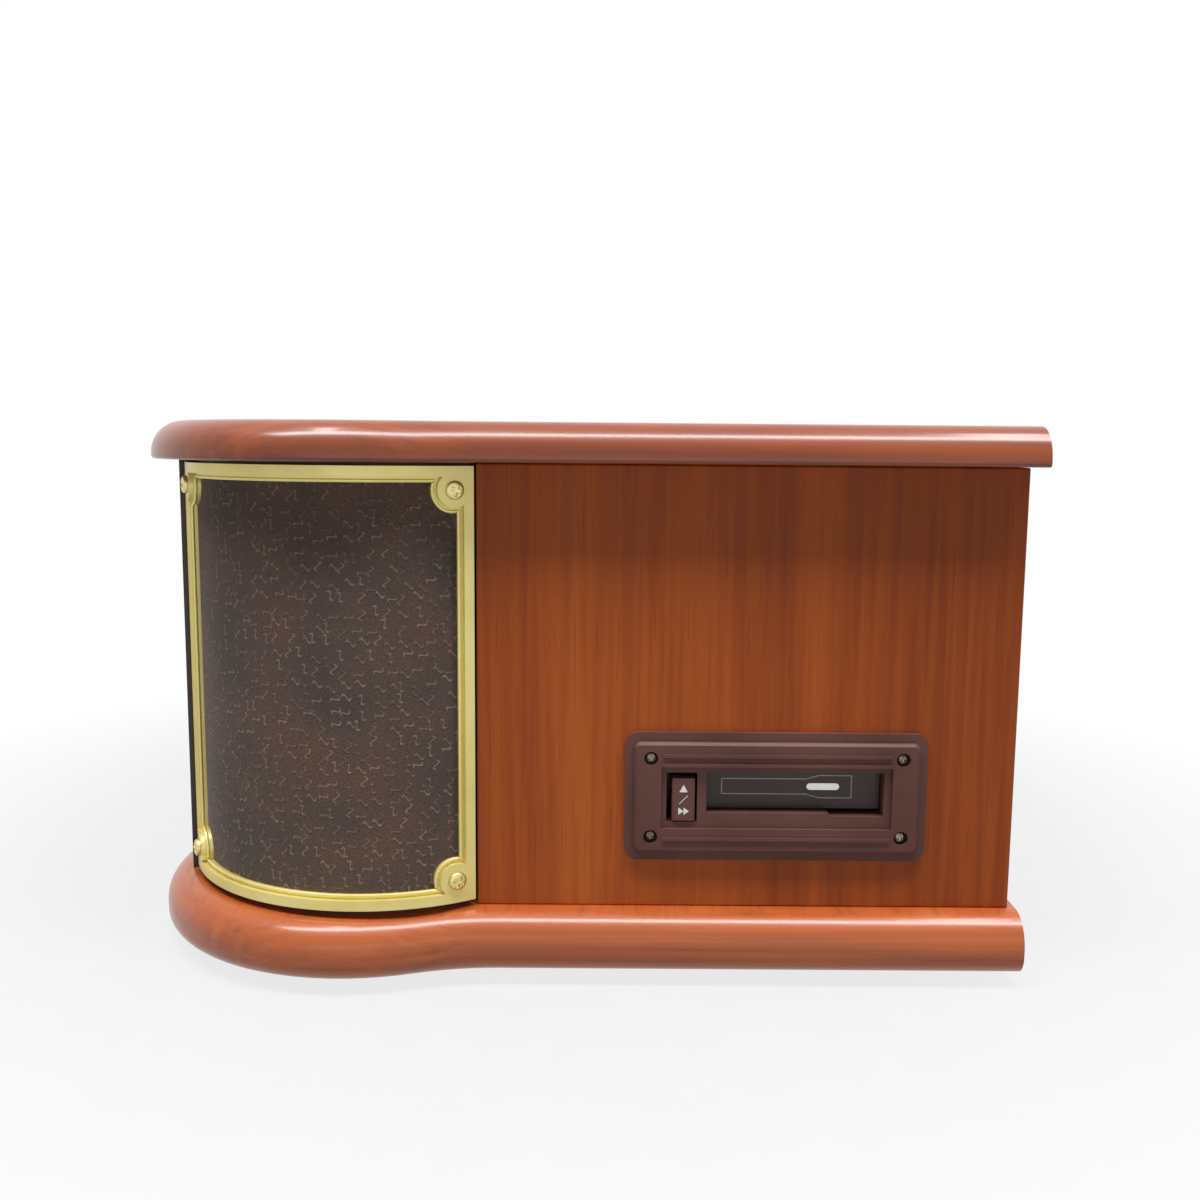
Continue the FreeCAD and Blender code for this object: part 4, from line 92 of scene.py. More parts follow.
# Knobs
KNOB_LENGTH = 13.0 * MM
KNOB_SKIRT = 2.0 * MM
KNOB_SKIRT_LENGTH = 3.0 * MM
KNOB_ROUND = 2.5 * MM
KNOB_GROOVE = 1.0 * MM
RIB_HALF = 0.5 * MM

# Prints and small screws
PRINT_HEIGHT = 0.06 * MM
BEZEL_SCREW_RADIUS = 2.2 * MM
BEZEL_SCREW_HEIGHT = 1.6 * MM
SMALL_SCREW_CELLS = 16


def tone(red, green, blue):
    """A colour from its three bytes on screen."""
    linear = []
    for byte in (red, green, blue):
        share = byte / 255
        linear.append(share / 12.92 if share <= 0.04045 else ((share + 0.055) / 1.055) ** 2.4)
    return (*linear, 1.0)


class Shader:
    """A node material that is put together step by step, in the part's own coordinates."""

    def __init__(self, name):
        self.material = bpy.data.materials.new(name)
        self.material.use_nodes = True
        self.tree = self.material.node_tree
        self.surface = self.tree.nodes["Principled BSDF"]
        coordinates = self.tree.nodes.new("ShaderNodeTexCoord").outputs
        self.place = coordinates["Object"]
        self.normal = coordinates["Normal"]

    def feed(self, socket, value):
        """Links a socket, or sets its value."""
        if isinstance(value, bpy.types.NodeSocket):
            self.tree.links.new(value, socket)
        else:
            socket.default_value = value

    def add(self, kind, inputs, **settings):
        """A new node with its settings and inputs."""
        node = self.tree.nodes.new("ShaderNode" + kind)
        for name, value in settings.items():
            setattr(node, name, value)
        for key, value in inputs.items():
            self.feed(node.inputs[key], value)
        return node

    def stretched(self, scale):
        """The part's coordinates, scaled along each axis."""
        return self.add("Mapping", {"Vector": self.place, "Scale": scale}).outputs["Vector"]

    def noise(self, vector, scale=1.0, detail=3.0, distortion=0.0):
        """A soft noise between 0 and 1."""
        inputs = {"Vector": vector, "Scale": scale, "Detail": detail, "Distortion": distortion}
        return self.add("TexNoise", inputs).outputs["Fac"]

    def ramp(self, factor, *stops):
        """A colour ramp from (place, colour) stops."""
        node = self.add("ValToRGB", {"Fac": factor})
        points = node.color_ramp.elements
        while len(points) < len(stops):
            points.new(1.0)
        for point, (place, colour) in zip(points, stops):
            point.position = place
            point.color = colour
        return node.outputs["Color"]

    def range(self, value, low, high, to_low, to_high):
        """A value moved from one range to another, and kept inside it."""
        inputs = {"Value": value, "From Min": low, "From Max": high, "To Min": to_low, "To Max": to_high}
        return self.add("MapRange", inputs).outputs["Result"]

    def math(self, operation, first, second=0.0):
        """A sum of one or two numbers."""
        return self.add("Math", {0: first, 1: second}, operation=operation).outputs["Value"]

    def mix(self, factor, first, second):
        """A colour between two others."""
        return self.add("Mix", {0: factor, 6: first, 7: second}, data_type="RGBA").outputs[2]

    def blend(self, factor, first, second):
        """A number between two others."""
        return self.add("Mix", {0: factor, 2: first, 3: second}, data_type="FLOAT").outputs[0]

    def bump(self, height, depth, strength):
        """A relief of a given depth."""
        node = self.add("Bump", {"Height": height, "Distance": depth, "Strength": strength})
        self.feed(self.surface.inputs["Normal"], node.outputs["Normal"])

    def done(self, **inputs):
        """The material, with its surface set."""
        for name, value in inputs.items():
            self.feed(self.surface.inputs[name.replace("_", " ")], value)
        return self.material


def lacquered_wood(name, deep, middle, pale):
    """Glossy red-brown wood, with its grain along X, and along Y on the side edges."""
    streaks_x, streaks_y = (6, 34, 300), (300, 5, 160)
    fibres_x, fibres_y = (9, 380, 380), (380, 9, 380)
    paint = Shader(name)
    facing_side = paint.math("ABSOLUTE", paint.add("SeparateXYZ", {"Vector": paint.normal}).outputs["X"])
    side = paint.range(facing_side, 0.35, 0.75, 0.0, 1.0)
    streaks = paint.blend(side, paint.noise(paint.stretched(streaks_x), detail=5.0, distortion=0.4),
                          paint.noise(paint.stretched(streaks_y), detail=5.0, distortion=0.4))
    fibres = paint.blend(side, paint.noise(paint.stretched(fibres_x), distortion=0.2),
                         paint.noise(paint.stretched(fibres_y), distortion=0.2))
    clouds = paint.noise(paint.stretched((7, 9, 20)), detail=2.0)
    grain = paint.ramp(streaks, (0.30, deep), (0.52, middle), (0.72, pale))
    colour = paint.mix(paint.range(clouds, 0.35, 0.65, 0.0, 0.45), grain, deep)
    colour = paint.mix(paint.range(fibres, 0.52, 0.72, 0.0, 0.35), colour, tone(104, 46, 22))
    paint.bump(fibres, 0.03 * MM, 0.15)
    return paint.done(Base_Color=colour, Roughness=paint.range(streaks, 0.3, 0.7, 0.30, 0.38),
                      Specular_IOR_Level=0.28, Coat_Weight=0.5, Coat_Roughness=0.17)


def side_veneer(name):
    """Satin orange-brown veneer with upright grain."""
    paint = Shader(name)
    bands = paint.noise(paint.stretched((26, 26, 1.7)), detail=4.0, distortion=0.6)
    fibres = paint.noise(paint.stretched((260, 260, 8)), detail=3.0, distortion=0.3)
    pores = paint.noise(paint.stretched((1100, 1100, 26)), detail=2.0)
    broad = paint.ramp(bands, (0.28, tone(134, 58, 18)), (0.45, tone(164, 75, 25)),
                       (0.60, tone(178, 87, 30)), (0.75, tone(190, 102, 40)))
    fine = paint.ramp(fibres, (0.35, tone(138, 58, 18)), (0.60, tone(180, 90, 31)))
    colour = paint.mix(0.38, broad, fine)
    dark = paint.range(pores, 0.60, 0.74, 0.0, 0.35)
    colour = paint.mix(dark, colour, tone(98, 42, 14))
    paint.bump(pores, 0.04 * MM, 0.35)
    return paint.done(Base_Color=colour, Roughness=paint.range(fibres, 0.3, 0.7, 0.40, 0.50),
                      Specular_IOR_Level=0.22)


def plain_wood(name, dark, light, scale, roughness):
    """Board with a soft grain along one axis."""
    paint = Shader(name)
    grain = paint.noise(paint.stretched(scale), detail=5.0, distortion=0.3)
    paint.bump(grain, 0.08 * MM, 0.3)
    return paint.done(Base_Color=paint.ramp(grain, (0.35, dark), (0.65, light)),
                      Roughness=paint.range(grain, 0.3, 0.7, roughness, roughness + 0.1))


def grained_plastic(name, dark, light, roughness, grain=1400.0, specular=0.4):
    """Moulded plastic with a fine skin."""
    paint = Shader(name)
    skin = paint.noise(paint.place, grain, 2.0)
    patches = paint.noise(paint.place, 28.0, 3.0)
    paint.bump(skin, 0.05 * MM, 0.35)
    return paint.done(Base_Color=paint.ramp(patches, (0.35, dark), (0.65, light)),
                      Roughness=paint.range(skin, 0.3, 0.7, roughness - 0.06, roughness + 0.06),
                      Specular_IOR_Level=specular)


def brushed_metal(name, dark, light, roughness, scale):
    """Metal with fine strokes along one axis."""
    paint = Shader(name)
    strokes = paint.noise(paint.stretched(scale), detail=4.0)
    patches = paint.noise(paint.place, 45.0, 3.0)
    paint.bump(strokes, 0.01 * MM, 0.3)
    return paint.done(Base_Color=paint.ramp(patches, (0.35, dark), (0.65, light)), Metallic=1.0,
                      Roughness=paint.range(strokes, 0.3, 0.7, roughness - 0.07, roughness + 0.07))


def gold_paint(name):
    """Satin gold paint with a fine flake."""
    paint = Shader(name)
    flakes = paint.noise(paint.place, 2600.0, 2.0)
    patches = paint.noise(paint.place, 40.0, 3.0)
    paint.bump(flakes, 0.02 * MM, 0.3)
    colour = paint.ramp(patches, (0.35, tone(224, 208, 128)), (0.65, tone(234, 220, 146)))
    return paint.done(Base_Color=colour, Metallic=0.45,
                      Roughness=paint.range(flakes, 0.3, 0.7, 0.28, 0.42))


def turned_metal(name, dark, light, roughness):
    """Metal with the fine rings that turning leaves."""
    paint = Shader(name)
    rings = paint.add("TexWave", {"Vector": paint.place, "Scale": 320.0, "Distortion": 0.6},
                      wave_type="RINGS", rings_direction="Z").outputs["Fac"]
    patches = paint.noise(paint.place, 40.0, 3.0)
    paint.bump(rings, 0.01 * MM, 0.25)
    return paint.done(Base_Color=paint.ramp(patches, (0.35, dark), (0.65, light)), Metallic=1.0,
                      Roughness=paint.range(rings, 0.0, 1.0, roughness - 0.05, roughness + 0.05))


def print_ink(name, dark, light, glow=0.0):
    """Printed marks, a little worn, with an optional painted glow."""
    paint = Shader(name)
    wear = paint.noise(paint.place, 900.0, 3.0)
    return paint.done(Base_Color=paint.ramp(wear, (0.30, dark), (0.55, light)), Emission_Color=light,
                      Emission_Strength=glow, Roughness=paint.range(wear, 0.3, 0.7, 0.45, 0.6))


def speaker_cloth(name):
    """Dark brown cloth with short curled threads that stand out lighter."""
    cell = 5.4 * MM
    curl = 1.05 * MM
    reach = 2.2 * MM
    stroke = 0.72 * MM
    paint = Shader(name)
    split = paint.add("SeparateXYZ", {"Vector": paint.place}).outputs
    out = paint.math("SUBTRACT", paint.math("ABSOLUTE", split["X"]), column.x)
    back = paint.math("SUBTRACT", split["Y"], column.y)
    round_way = paint.math("MULTIPLY", paint.math("ARCTAN2", out, back), CLOTH_RADIUS)
    flat = paint.add("CombineXYZ", {"X": round_way, "Y": split["Z"]}).outputs["Vector"]
    cells = paint.add("TexVoronoi", {"Vector": flat, "Scale": 1 / cell, "Randomness": 0.75},
                      voronoi_dimensions="2D").outputs
    offset = paint.add("VectorMath", {0: flat, 1: cells["Position"]}, operation="SUBTRACT").outputs["Vector"]
    chance = paint.add("SeparateColor", {"Color": cells["Color"]}).outputs
    turn = paint.math("SNAP", paint.math("MULTIPLY", chance["Red"], 2 * math.pi), math.pi / 4)
    turned = paint.add("VectorRotate", {"Vector": offset, "Angle": turn}, rotation_type="Z_AXIS")
    local = paint.add("SeparateXYZ", {"Vector": turned.outputs["Vector"]}).outputs
    wave = paint.math("SINE", paint.math("MULTIPLY", local["X"], math.pi / reach))
    gap = paint.math("ABSOLUTE", paint.math("SUBTRACT", local["Y"], paint.math("MULTIPLY", wave, curl)))
    across = paint.range(gap, 0.35 * stroke, stroke, 1.0, 0.0)
    along = paint.range(paint.math("ABSOLUTE", local["X"]), 0.85 * reach, reach, 1.0, 0.0)
    thread = paint.math("MULTIPLY", across, along)
    weave = paint.noise(paint.place, 1500.0, 2.0)
    patches = paint.noise(paint.place, 34.0, 3.0)
    ground = paint.ramp(patches, (0.30, tone(86, 77, 72)), (0.52, tone(104, 86, 78)),
                        (0.72, tone(116, 88, 75)))
    ground = paint.mix(paint.range(weave, 0.35, 0.65, 0.0, 0.6), ground, tone(70, 57, 52))
    worn = paint.math("MULTIPLY", paint.range(chance["Green"], 0.0, 1.0, 0.2, 0.9),
                      paint.range(weave, 0.3, 0.7, 0.55, 1.0))
    colour = paint.mix(paint.math("MULTIPLY", thread, worn), ground, tone(156, 134, 120))
    height = paint.math("ADD", thread, paint.math("MULTIPLY", weave, 0.35))
    paint.bump(height, 0.4 * MM, 0.9)
    return paint.done(Base_Color=colour, Roughness=0.85, Specular_IOR_Level=0.15, Sheen_Weight=0.1)


def clear_lens(name):
    """Clear plastic with faint rub marks."""
    paint = Shader(name)
    rub = paint.noise(paint.place, 300.0, 3.0)
    return paint.done(Base_Color=paint.ramp(rub, (0.3, tone(246, 243, 230)), (0.7, tone(252, 250, 242))),
                      Roughness=paint.range(rub, 0.3, 0.7, 0.02, 0.06), Transmission_Weight=1.0, IOR=1.49)


def twisted_cord(name):
    """Thin cord with a twist."""
    paint = Shader(name)
    twist = paint.add("TexWave", {"Vector": paint.place, "Scale": 900.0, "Distortion": 1.0},
                      bands_direction="DIAGONAL").outputs["Fac"]
    paint.bump(twist, 0.1 * MM, 0.5)
    return paint.done(Base_Color=paint.ramp(twist, (0.2, tone(150, 140, 115)), (0.8, tone(215, 205, 180))),
                      Roughness=0.8)


def make_materials():
    """A material for each of the record's slots, and a few for trim."""
    looks = (
        # The lid and plinth share one lacquer: the plinth's tones are painted lighter (painted light) and
        # the lid's tones darker (painted shade).
        ("lacquered_wood", lacquered_wood, tone(166, 80, 35), tone(182, 93, 43), tone(196, 106, 52)),
        ("lid_lacquer", lacquered_wood, tone(120, 52, 20), tone(138, 62, 25), tone(154, 74, 31)),
        ("side_veneer", side_veneer),
        # The corner columns' near-black tone is painted shade: the strip of column beside each grille frame
        # is drawn dark where it stands in shadow.
        ("dark_stain", plain_wood, tone(36, 26, 22), tone(52, 36, 28), (90, 90, 6), 0.45),
        ("back_board", plain_wood, tone(92, 66, 46), tone(116, 84, 60), (9, 60, 140), 0.65),
        ("deck_paint", grained_plastic, tone(34, 32, 31), tone(44, 42, 40), 0.55, 2200.0),
        ("raw_wood", plain_wood, tone(176, 140, 98), tone(206, 172, 128), (8, 60, 60), 0.7),
        ("foot_rubber", grained_plastic, tone(26, 26, 26), tone(38, 37, 36), 0.75, 900.0, 0.25),
        ("brass", brushed_metal, tone(206, 192, 128), tone(220, 208, 148), 0.36, (160, 160, 160)),
        ("gold_paint", gold_paint),
        ("platter_metal", turned_metal, tone(186, 187, 190), tone(208, 209, 212), 0.26),
        ("steel", brushed_metal, tone(168, 168, 170), tone(194, 194, 196), 0.32, (60, 400, 400)),
        ("arm_metal", brushed_metal, tone(198, 199, 202), tone(218, 219, 222), 0.18, (500, 60, 500)),
        ("black_plastic", grained_plastic, tone(28, 27, 27), tone(38, 37, 36), 0.42),
        ("bezel_plastic", grained_plastic, tone(94, 60, 54), tone(108, 73, 66), 0.44, 1400.0, 0.2),
        ("flap_plastic", grained_plastic, tone(64, 52, 48), tone(76, 62, 57), 0.35, 1800.0, 0.3),
        ("dial_lens", clear_lens),
        ("dial_paint", grained_plastic, tone(240, 227, 182), tone(248, 237, 198), 0.6, 1600.0),
        ("pointer_red", grained_plastic, tone(176, 30, 22), tone(196, 42, 30), 0.4, 1600.0),
        ("cord", twisted_cord),
        ("knob_plastic", grained_plastic, tone(66, 36, 24), tone(82, 46, 30), 0.28, 1800.0),
        ("grille_cloth", speaker_cloth),
        ("driver", grained_plastic, tone(30, 30, 31), tone(44, 43, 42), 0.8, 700.0, 0.2),
        ("circuit_board", grained_plastic, tone(40, 92, 58), tone(56, 108, 72), 0.5, 500.0),
        ("white_ink", print_ink, tone(226, 230, 230), tone(240, 243, 243)),
        ("grey_ink", print_ink, tone(140, 136, 130), tone(176, 172, 164)),
        ("dark_ink", print_ink, tone(40, 34, 28), tone(60, 50, 42)),
        ("gold_ink", print_ink, tone(176, 158, 92), tone(206, 190, 124)),
        # The flap's white bar is a print with a painted glow, though it is no lamp.
        ("bar_ink", print_ink, tone(232, 240, 240), tone(244, 248, 248), 0.3),
        ("dark_steel", brushed_metal, tone(52, 50, 48), tone(70, 67, 64), 0.5, (300, 300, 300)),
        ("screw_steel", brushed_metal, tone(110, 100, 88), tone(142, 132, 118), 0.34, (300, 300, 300)),
    )
    return {name: make(name, *values) for name, make, *values in looks}


materials = make_materials()


def paint_nodes():
    """Gives each CAD node the material of its slot, or a special finish; the lid gets a darker copy of the
    plinth's lacquer as painted shade.
    """
    special = {"left_grille_frame": "gold_paint", "right_grille_frame": "gold_paint",
               "dial_bezel": "gold_paint", "cassette_chassis": "dark_steel", "lid_board": "lid_lacquer"}
    for part in frame["record"]["subparts"]:
        finish = special.get(part["node"], part["material_slot"])
        for slot in frame["nodes"][part["node"]].material_slots:
            slot.material = materials[finish]


def soften(width, *names):
    """Rounds the hard edges of CAD nodes a little."""
    for name in names:
        node = frame["nodes"][name]
        weld = node.modifiers.new("weld", "WELD")
        weld.merge_threshold = 0.01 * MM
        bevel = node.modifiers.new("bevel", "BEVEL")
        bevel.width = width
        bevel.segments = 3
        bevel.angle_limit = math.radians(40)
        bevel.use_clamp_overlap = True
        node.modifiers.new("normals", "WEIGHTED_NORMAL").keep_sharp = True


def new_piece(name, shape, body, finish, smooth=False):
    """An object from a bmesh, riding on a body."""
    bmesh.ops.recalc_face_normals(shape, faces=shape.faces)
    mesh = bpy.data.meshes.new(name)
    shape.to_mesh(mesh)
    shape.free()
    mesh.materials.append(materials[finish])
    for face in mesh.polygons:
        face.use_smooth = smooth
    mesh.set_sharp_from_angle(angle=math.radians(35))
    piece = bpy.data.objects.new(name, mesh)
    bpy.context.scene.collection.objects.link(piece)
    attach(piece, body)
    return piece


def facing(place, outward, up=UP):
    """A matrix that puts flat work (across, up, out) on a surface."""
    across = up.cross(outward).normalized()
    upward = outward.cross(across)
    turn = Matrix((across, upward, outward)).transposed().to_4x4()
    return Matrix.Translation(place) @ turn


def add_prism(shape, low, high):
    """A solid between two outlines with the same number of points."""
    first = [shape.verts.new(point) for point in low]
    last = [shape.verts.new(point) for point in high]
    shape.faces.new(first)
    shape.faces.new(last)
    for index in range(len(first)):
        after = (index + 1) % len(first)
        shape.faces.new((first[index], first[after], last[after], last[index]))


def add_print(shape, outline, on):
    """A thin raised print with a flat outline."""
    low = [on @ Vector((across, up, 0)) for across, up in outline]
    high = [on @ Vector((across, up, PRINT_HEIGHT)) for across, up in outline]
    add_prism(shape, low, high)


def add_line(shape, start, end, width, on):
    """A printed line between two points."""
    first, last = Vector(start), Vector(end)
    along = (last - first).normalized()
    side = Vector((-along.y, along.x)) * width / 2
    add_print(shape, [first - side, last - side, last + side, first + side], on)


def add_text(shape, text, size, across, up, on):
    """Raised figures, centred on a point."""
    curve = bpy.data.curves.new("figures", "FONT")
    curve.body = text
    curve.size = size
    curve.align_x = "CENTER"
    curve.align_y = "CENTER"
    curve.resolution_u = 4
    curve.extrude = PRINT_HEIGHT / 2
    holder = bpy.data.objects.new("figures", curve)
    mesh = bpy.data.meshes.new_from_object(holder)
    mesh.transform(on @ Matrix.Translation((across, up, PRINT_HEIGHT / 2)))
    shape.from_mesh(mesh)
    bpy.data.objects.remove(holder)
    bpy.data.curves.remove(curve)
    bpy.data.meshes.remove(mesh)
    bmesh.ops.remove_doubles(shape, verts=shape.verts, dist=0.001 * MM)


def add_turned(shape, profile, on, steps=64):
    """A solid turned from (radius, height) points, from its axis or from an inner edge."""
    rings = []
    for radius, height in profile:
        if radius == 0:
            rings.append([shape.verts.new(on @ Vector((0, 0, height)))])
            continue
        ring = []
        for step in range(steps):
            turn = 2 * math.pi * step / steps
            point = Vector((radius * math.cos(turn), radius * math.sin(turn), height))
            ring.append(shape.verts.new(on @ point))
        rings.append(ring)
    for first, second in zip(rings, rings[1:] + rings[:1]):
        for step in range(steps):
            after = (step + 1) % steps
            corners = []
            for vert in (first[step % len(first)], first[after % len(first)],
                         second[after % len(second)], second[step % len(second)]):
                if vert not in corners:
                    corners.append(vert)
            if len(corners) > 2:
                shape.faces.new(corners)


def screw_point(u, v, height):
    """A point on a screw head of radius 1 with a cross cut into it, from a square's u and v."""
    rim_share = 0.35
    slot_half = 0.17
    slot_reach = 0.62
    slot_depth = 0.55 * height
    x = u * math.sqrt(1 - v * v / 2)
    y = v * math.sqrt(1 - u * u / 2)
    crown = height * (rim_share + (1 - rim_share) * math.sqrt(max(0.0, 1 - x * x - y * y)))
    narrow = min(abs(u), abs(v))
    wide = max(abs(u), abs(v))
    if narrow < slot_half and wide < slot_reach:
        crown -= slot_depth * (1 - 0.5 * wide / slot_reach)
    return x, y, crown


def add_screw_head(shape, on, radius, height, cells=24):
    """A domed screw head with a cross cut into it."""
    rows = []
    for row in range(cells + 1):
        line = []
        for place in range(cells + 1):
            x, y, crown = screw_point(2 * place / cells - 1, 2 * row / cells - 1, height)
            line.append(shape.verts.new(on @ Vector((x * radius, y * radius, crown))))
        rows.append(line)
    for line, above in zip(rows, rows[1:]):
        for place in range(cells):
            shape.faces.new((line[place], line[place + 1], above[place + 1], above[place]))
    right_edge = [line[-1] for line in rows[1:]]
    left_edge = [line[0] for line in rows[-2:0:-1]]
    rim = rows[0] + right_edge + rows[-1][-2::-1] + left_edge
    feet = []
    for corner in rim:
        flat = on.inverted() @ corner.co
        feet.append(shape.verts.new(on @ Vector((flat.x, flat.y, 0))))
    for index in range(len(rim)):
        after = (index + 1) % len(rim)
        shape.faces.new((rim[index], rim[after], feet[after], feet[index]))
    shape.faces.new(feet)


def on_column(angle, z, radius, side):
    """A point on a corner column and the direction out of it. side is 1 on the right and -1 on the left."""
    out = Vector((side * math.sin(angle), math.cos(angle), 0))
    return Vector((side * column.x, column.y, z)) + out * radius, out


def ear_places():
    """The angle and height of each grille screw."""
    inset = EAR_SIDE_INSET / FRAME_RADIUS
    return [(angle, z) for angle in (FRAME_START + inset, FRAME_END - inset)
            for z in (frame_low.z + EAR_END_INSET, frame_high.z - EAR_END_INSET)]


def grille_screws():
    """The brass screws of both grille frames."""
    shape = bmesh.new()
    for side in (1, -1):
        for angle, z in ear_places():
            place, out = on_column(angle, z, FRAME_RADIUS, side)
            spin = Matrix.Rotation(angle + z, 4, "Z")
            add_screw_head(shape, facing(place, out) @ spin, GRILLE_SCREW_RADIUS, GRILLE_SCREW_HEIGHT)
    piece = new_piece("grille_screw_heads", shape, "cabinet", "brass", smooth=True)
    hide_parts("grille_screws")


def grille_cloth(name, side):
    """The stretched cloth of one corner speaker."""
    columns = 72
    low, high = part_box(name)
    start = FRAME_START + CLOTH_MARGIN / FRAME_RADIUS
    end = FRAME_END - CLOTH_MARGIN / FRAME_RADIUS
    shape = bmesh.new()
    previous = None
    for step in range(columns + 1):
        angle = start + (end - start) * step / columns
        edge = [shape.verts.new(on_column(angle, z, CLOTH_RADIUS, side)[0]) for z in (low.z, high.z)]
        if previous:
            shape.faces.new((previous[0], edge[0], edge[1], previous[1]))
        previous = edge
    piece = new_piece(name + "_weave", shape, "cabinet", "grille_cloth", smooth=True)
    thick = piece.modifiers.new("thickness", "SOLIDIFY")
    thick.thickness = CLOTH_THICKNESS
    thick.offset = -1.0
    piece.modifiers.new("normals", "WEIGHTED_NORMAL")
    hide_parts(name)


def window_path():
    """The edge of the frame's window as (way round, up) points, with a round ear in each corner."""
    ear_steps = 16
    run_steps = 24
    left = FRAME_START * FRAME_RADIUS + FRAME_BORDER
    right = FRAME_END * FRAME_RADIUS - FRAME_BORDER
    bottom = frame_low.z + FRAME_BORDER
    top = frame_high.z - FRAME_BORDER
    side_drop = EAR_SIDE_INSET - FRAME_BORDER
    end_drop = EAR_END_INSET - FRAME_BORDER
    reach_up = end_drop + math.sqrt(EAR_RADIUS ** 2 - side_drop ** 2)
    reach_in = side_drop + math.sqrt(EAR_RADIUS ** 2 - end_drop ** 2)
    ear_start = math.atan2(reach_up - end_drop, -side_drop)
    ear_end = math.atan2(-end_drop, reach_in - side_drop)
    ear = []
    for step in range(ear_steps + 1):
        turn = ear_start + (ear_end - ear_start) * step / ear_steps
        ear.append((side_drop + EAR_RADIUS * math.cos(turn), end_drop + EAR_RADIUS * math.sin(turn)))
    back = ear[::-1]
    corners = [
        [(left + across, bottom + up) for across, up in ear],
        [(right - across, bottom + up) for across, up in back],
        [(right - across, top - up) for across, up in ear],
        [(left + across, top - up) for across, up in back],
    ]
    path = []
    for index, corner in enumerate(corners):
        path += corner
        start = Vector(corner[-1])
        end = Vector(corners[(index + 1) % len(corners)][0])
        path += [tuple(start.lerp(end, step / run_steps)) for step in range(1, run_steps)]
    return path


def grille_bead(name, side):
    """The raised bead round the window of one grille frame."""
    sides = 10
    shape = bmesh.new()
    rings = []
    path = window_path()
    for index, (way, up) in enumerate(path):
        before, after = path[index - 1], path[(index + 1) % len(path)]
        along = Vector((after[0] - before[0], after[1] - before[1])).normalized()
        ring = []
        for step in range(sides):
            turn = 2 * math.pi * step / sides
            aside = BEAD_RADIUS * math.cos(turn)
            radius = FRAME_RADIUS - FRAME_LEDGE + BEAD_RADIUS * math.sin(turn)
            angle = (way + along.y * aside) / FRAME_RADIUS
            ring.append(shape.verts.new(on_column(angle, up - along.x * aside, radius, side)[0]))
        rings.append(ring)
    for index, ring in enumerate(rings):
        following = rings[(index + 1) % len(rings)]
        for step in range(sides):
            beside = (step + 1) % sides
            shape.faces.new((ring[step], ring[beside], following[beside], following[step]))
    new_piece(name, shape, "cabinet", "gold_paint", smooth=True)


def bezel_screws():
    """The four dark screws of the cassette bezel."""
    low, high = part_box("bezel_screws")
    shape = bmesh.new()
    for y in (low.y + BEZEL_SCREW_RADIUS, high.y - BEZEL_SCREW_RADIUS):
        for z in (low.z + BEZEL_SCREW_RADIUS, high.z - BEZEL_SCREW_RADIUS):
            on = facing(Vector((high.x - BEZEL_SCREW_HEIGHT, y, z)), RIGHT)
            spin = Matrix.Rotation(y + z, 4, "Z")
            add_screw_head(shape, on @ spin, BEZEL_SCREW_RADIUS, BEZEL_SCREW_HEIGHT)
    piece = new_piece("bezel_screw_heads", shape, "cabinet", "screw_steel", smooth=True)
    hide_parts("bezel_screws")


def key_marks():
    """The eject and wind signs on the key."""
    half = 1.6 * MM
    rise = 3.0 * MM
    size = 2.9 * MM
    slash = 0.25 * MM
    arrow = 2.0 * MM
    arrow_starts = (-1.9 * MM, 0.1 * MM)
    low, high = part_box("eject_key")
    on = facing(Vector((high.x, (low.y + high.y) / 2, (low.z + high.z) / 2)), RIGHT)
    shape = bmesh.new()
    add_print(shape, [(-half, rise), (half, rise), (0, rise + size)], on)
    add_line(shape, (-half, -half), (half, half), slash, on)
    for start in arrow_starts:
        add_print(shape, [(start, -rise - size), (start + arrow, -rise - size / 2), (start, -rise)], on)
    new_piece("key_marks", shape, "eject_key", "white_ink")


def flap_marks():
    """The printed outline and the white bar on the cassette flap, the bar with a painted glow."""
    left, narrow, wide, right = 7.5 * MM, 40.0 * MM, 45.0 * MM, 57.5 * MM
    middle = -6.4 * MM
    small, large = 3.0 * MM, 4.4 * MM
    line = 0.4 * MM
    bar_start, bar_end = 41.5 * MM, 51.5 * MM
    bar_half = 1.3 * MM
    bar_steps = 8
    low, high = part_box("cassette_flap")
    on = facing(Vector((high.x, low.y, high.z)), RIGHT)
    outline = [(left, middle - small), (narrow, middle - small), (wide, middle - large),
               (right, middle - large), (right, middle + large), (wide, middle + large),
               (narrow, middle + small), (left, middle + small)]
    shape = bmesh.new()
    for start, end in zip(outline, outline[1:] + outline[:1]):
        add_line(shape, start, end, line, on)
    new_piece("flap_outline", shape, "cassette_flap", "grey_ink")
    outline = []
    for centre, first_turn in ((bar_end, -math.pi / 2), (bar_start, math.pi / 2)):
        for step in range(bar_steps + 1):
            turn = math.pi * step / bar_steps + first_turn
            outline.append((centre + bar_half * math.cos(turn), middle + bar_half * math.sin(turn)))
    shape = bmesh.new()
    add_print(shape, outline, on)
    new_piece("flap_bar", shape, "cassette_flap", "bar_ink")


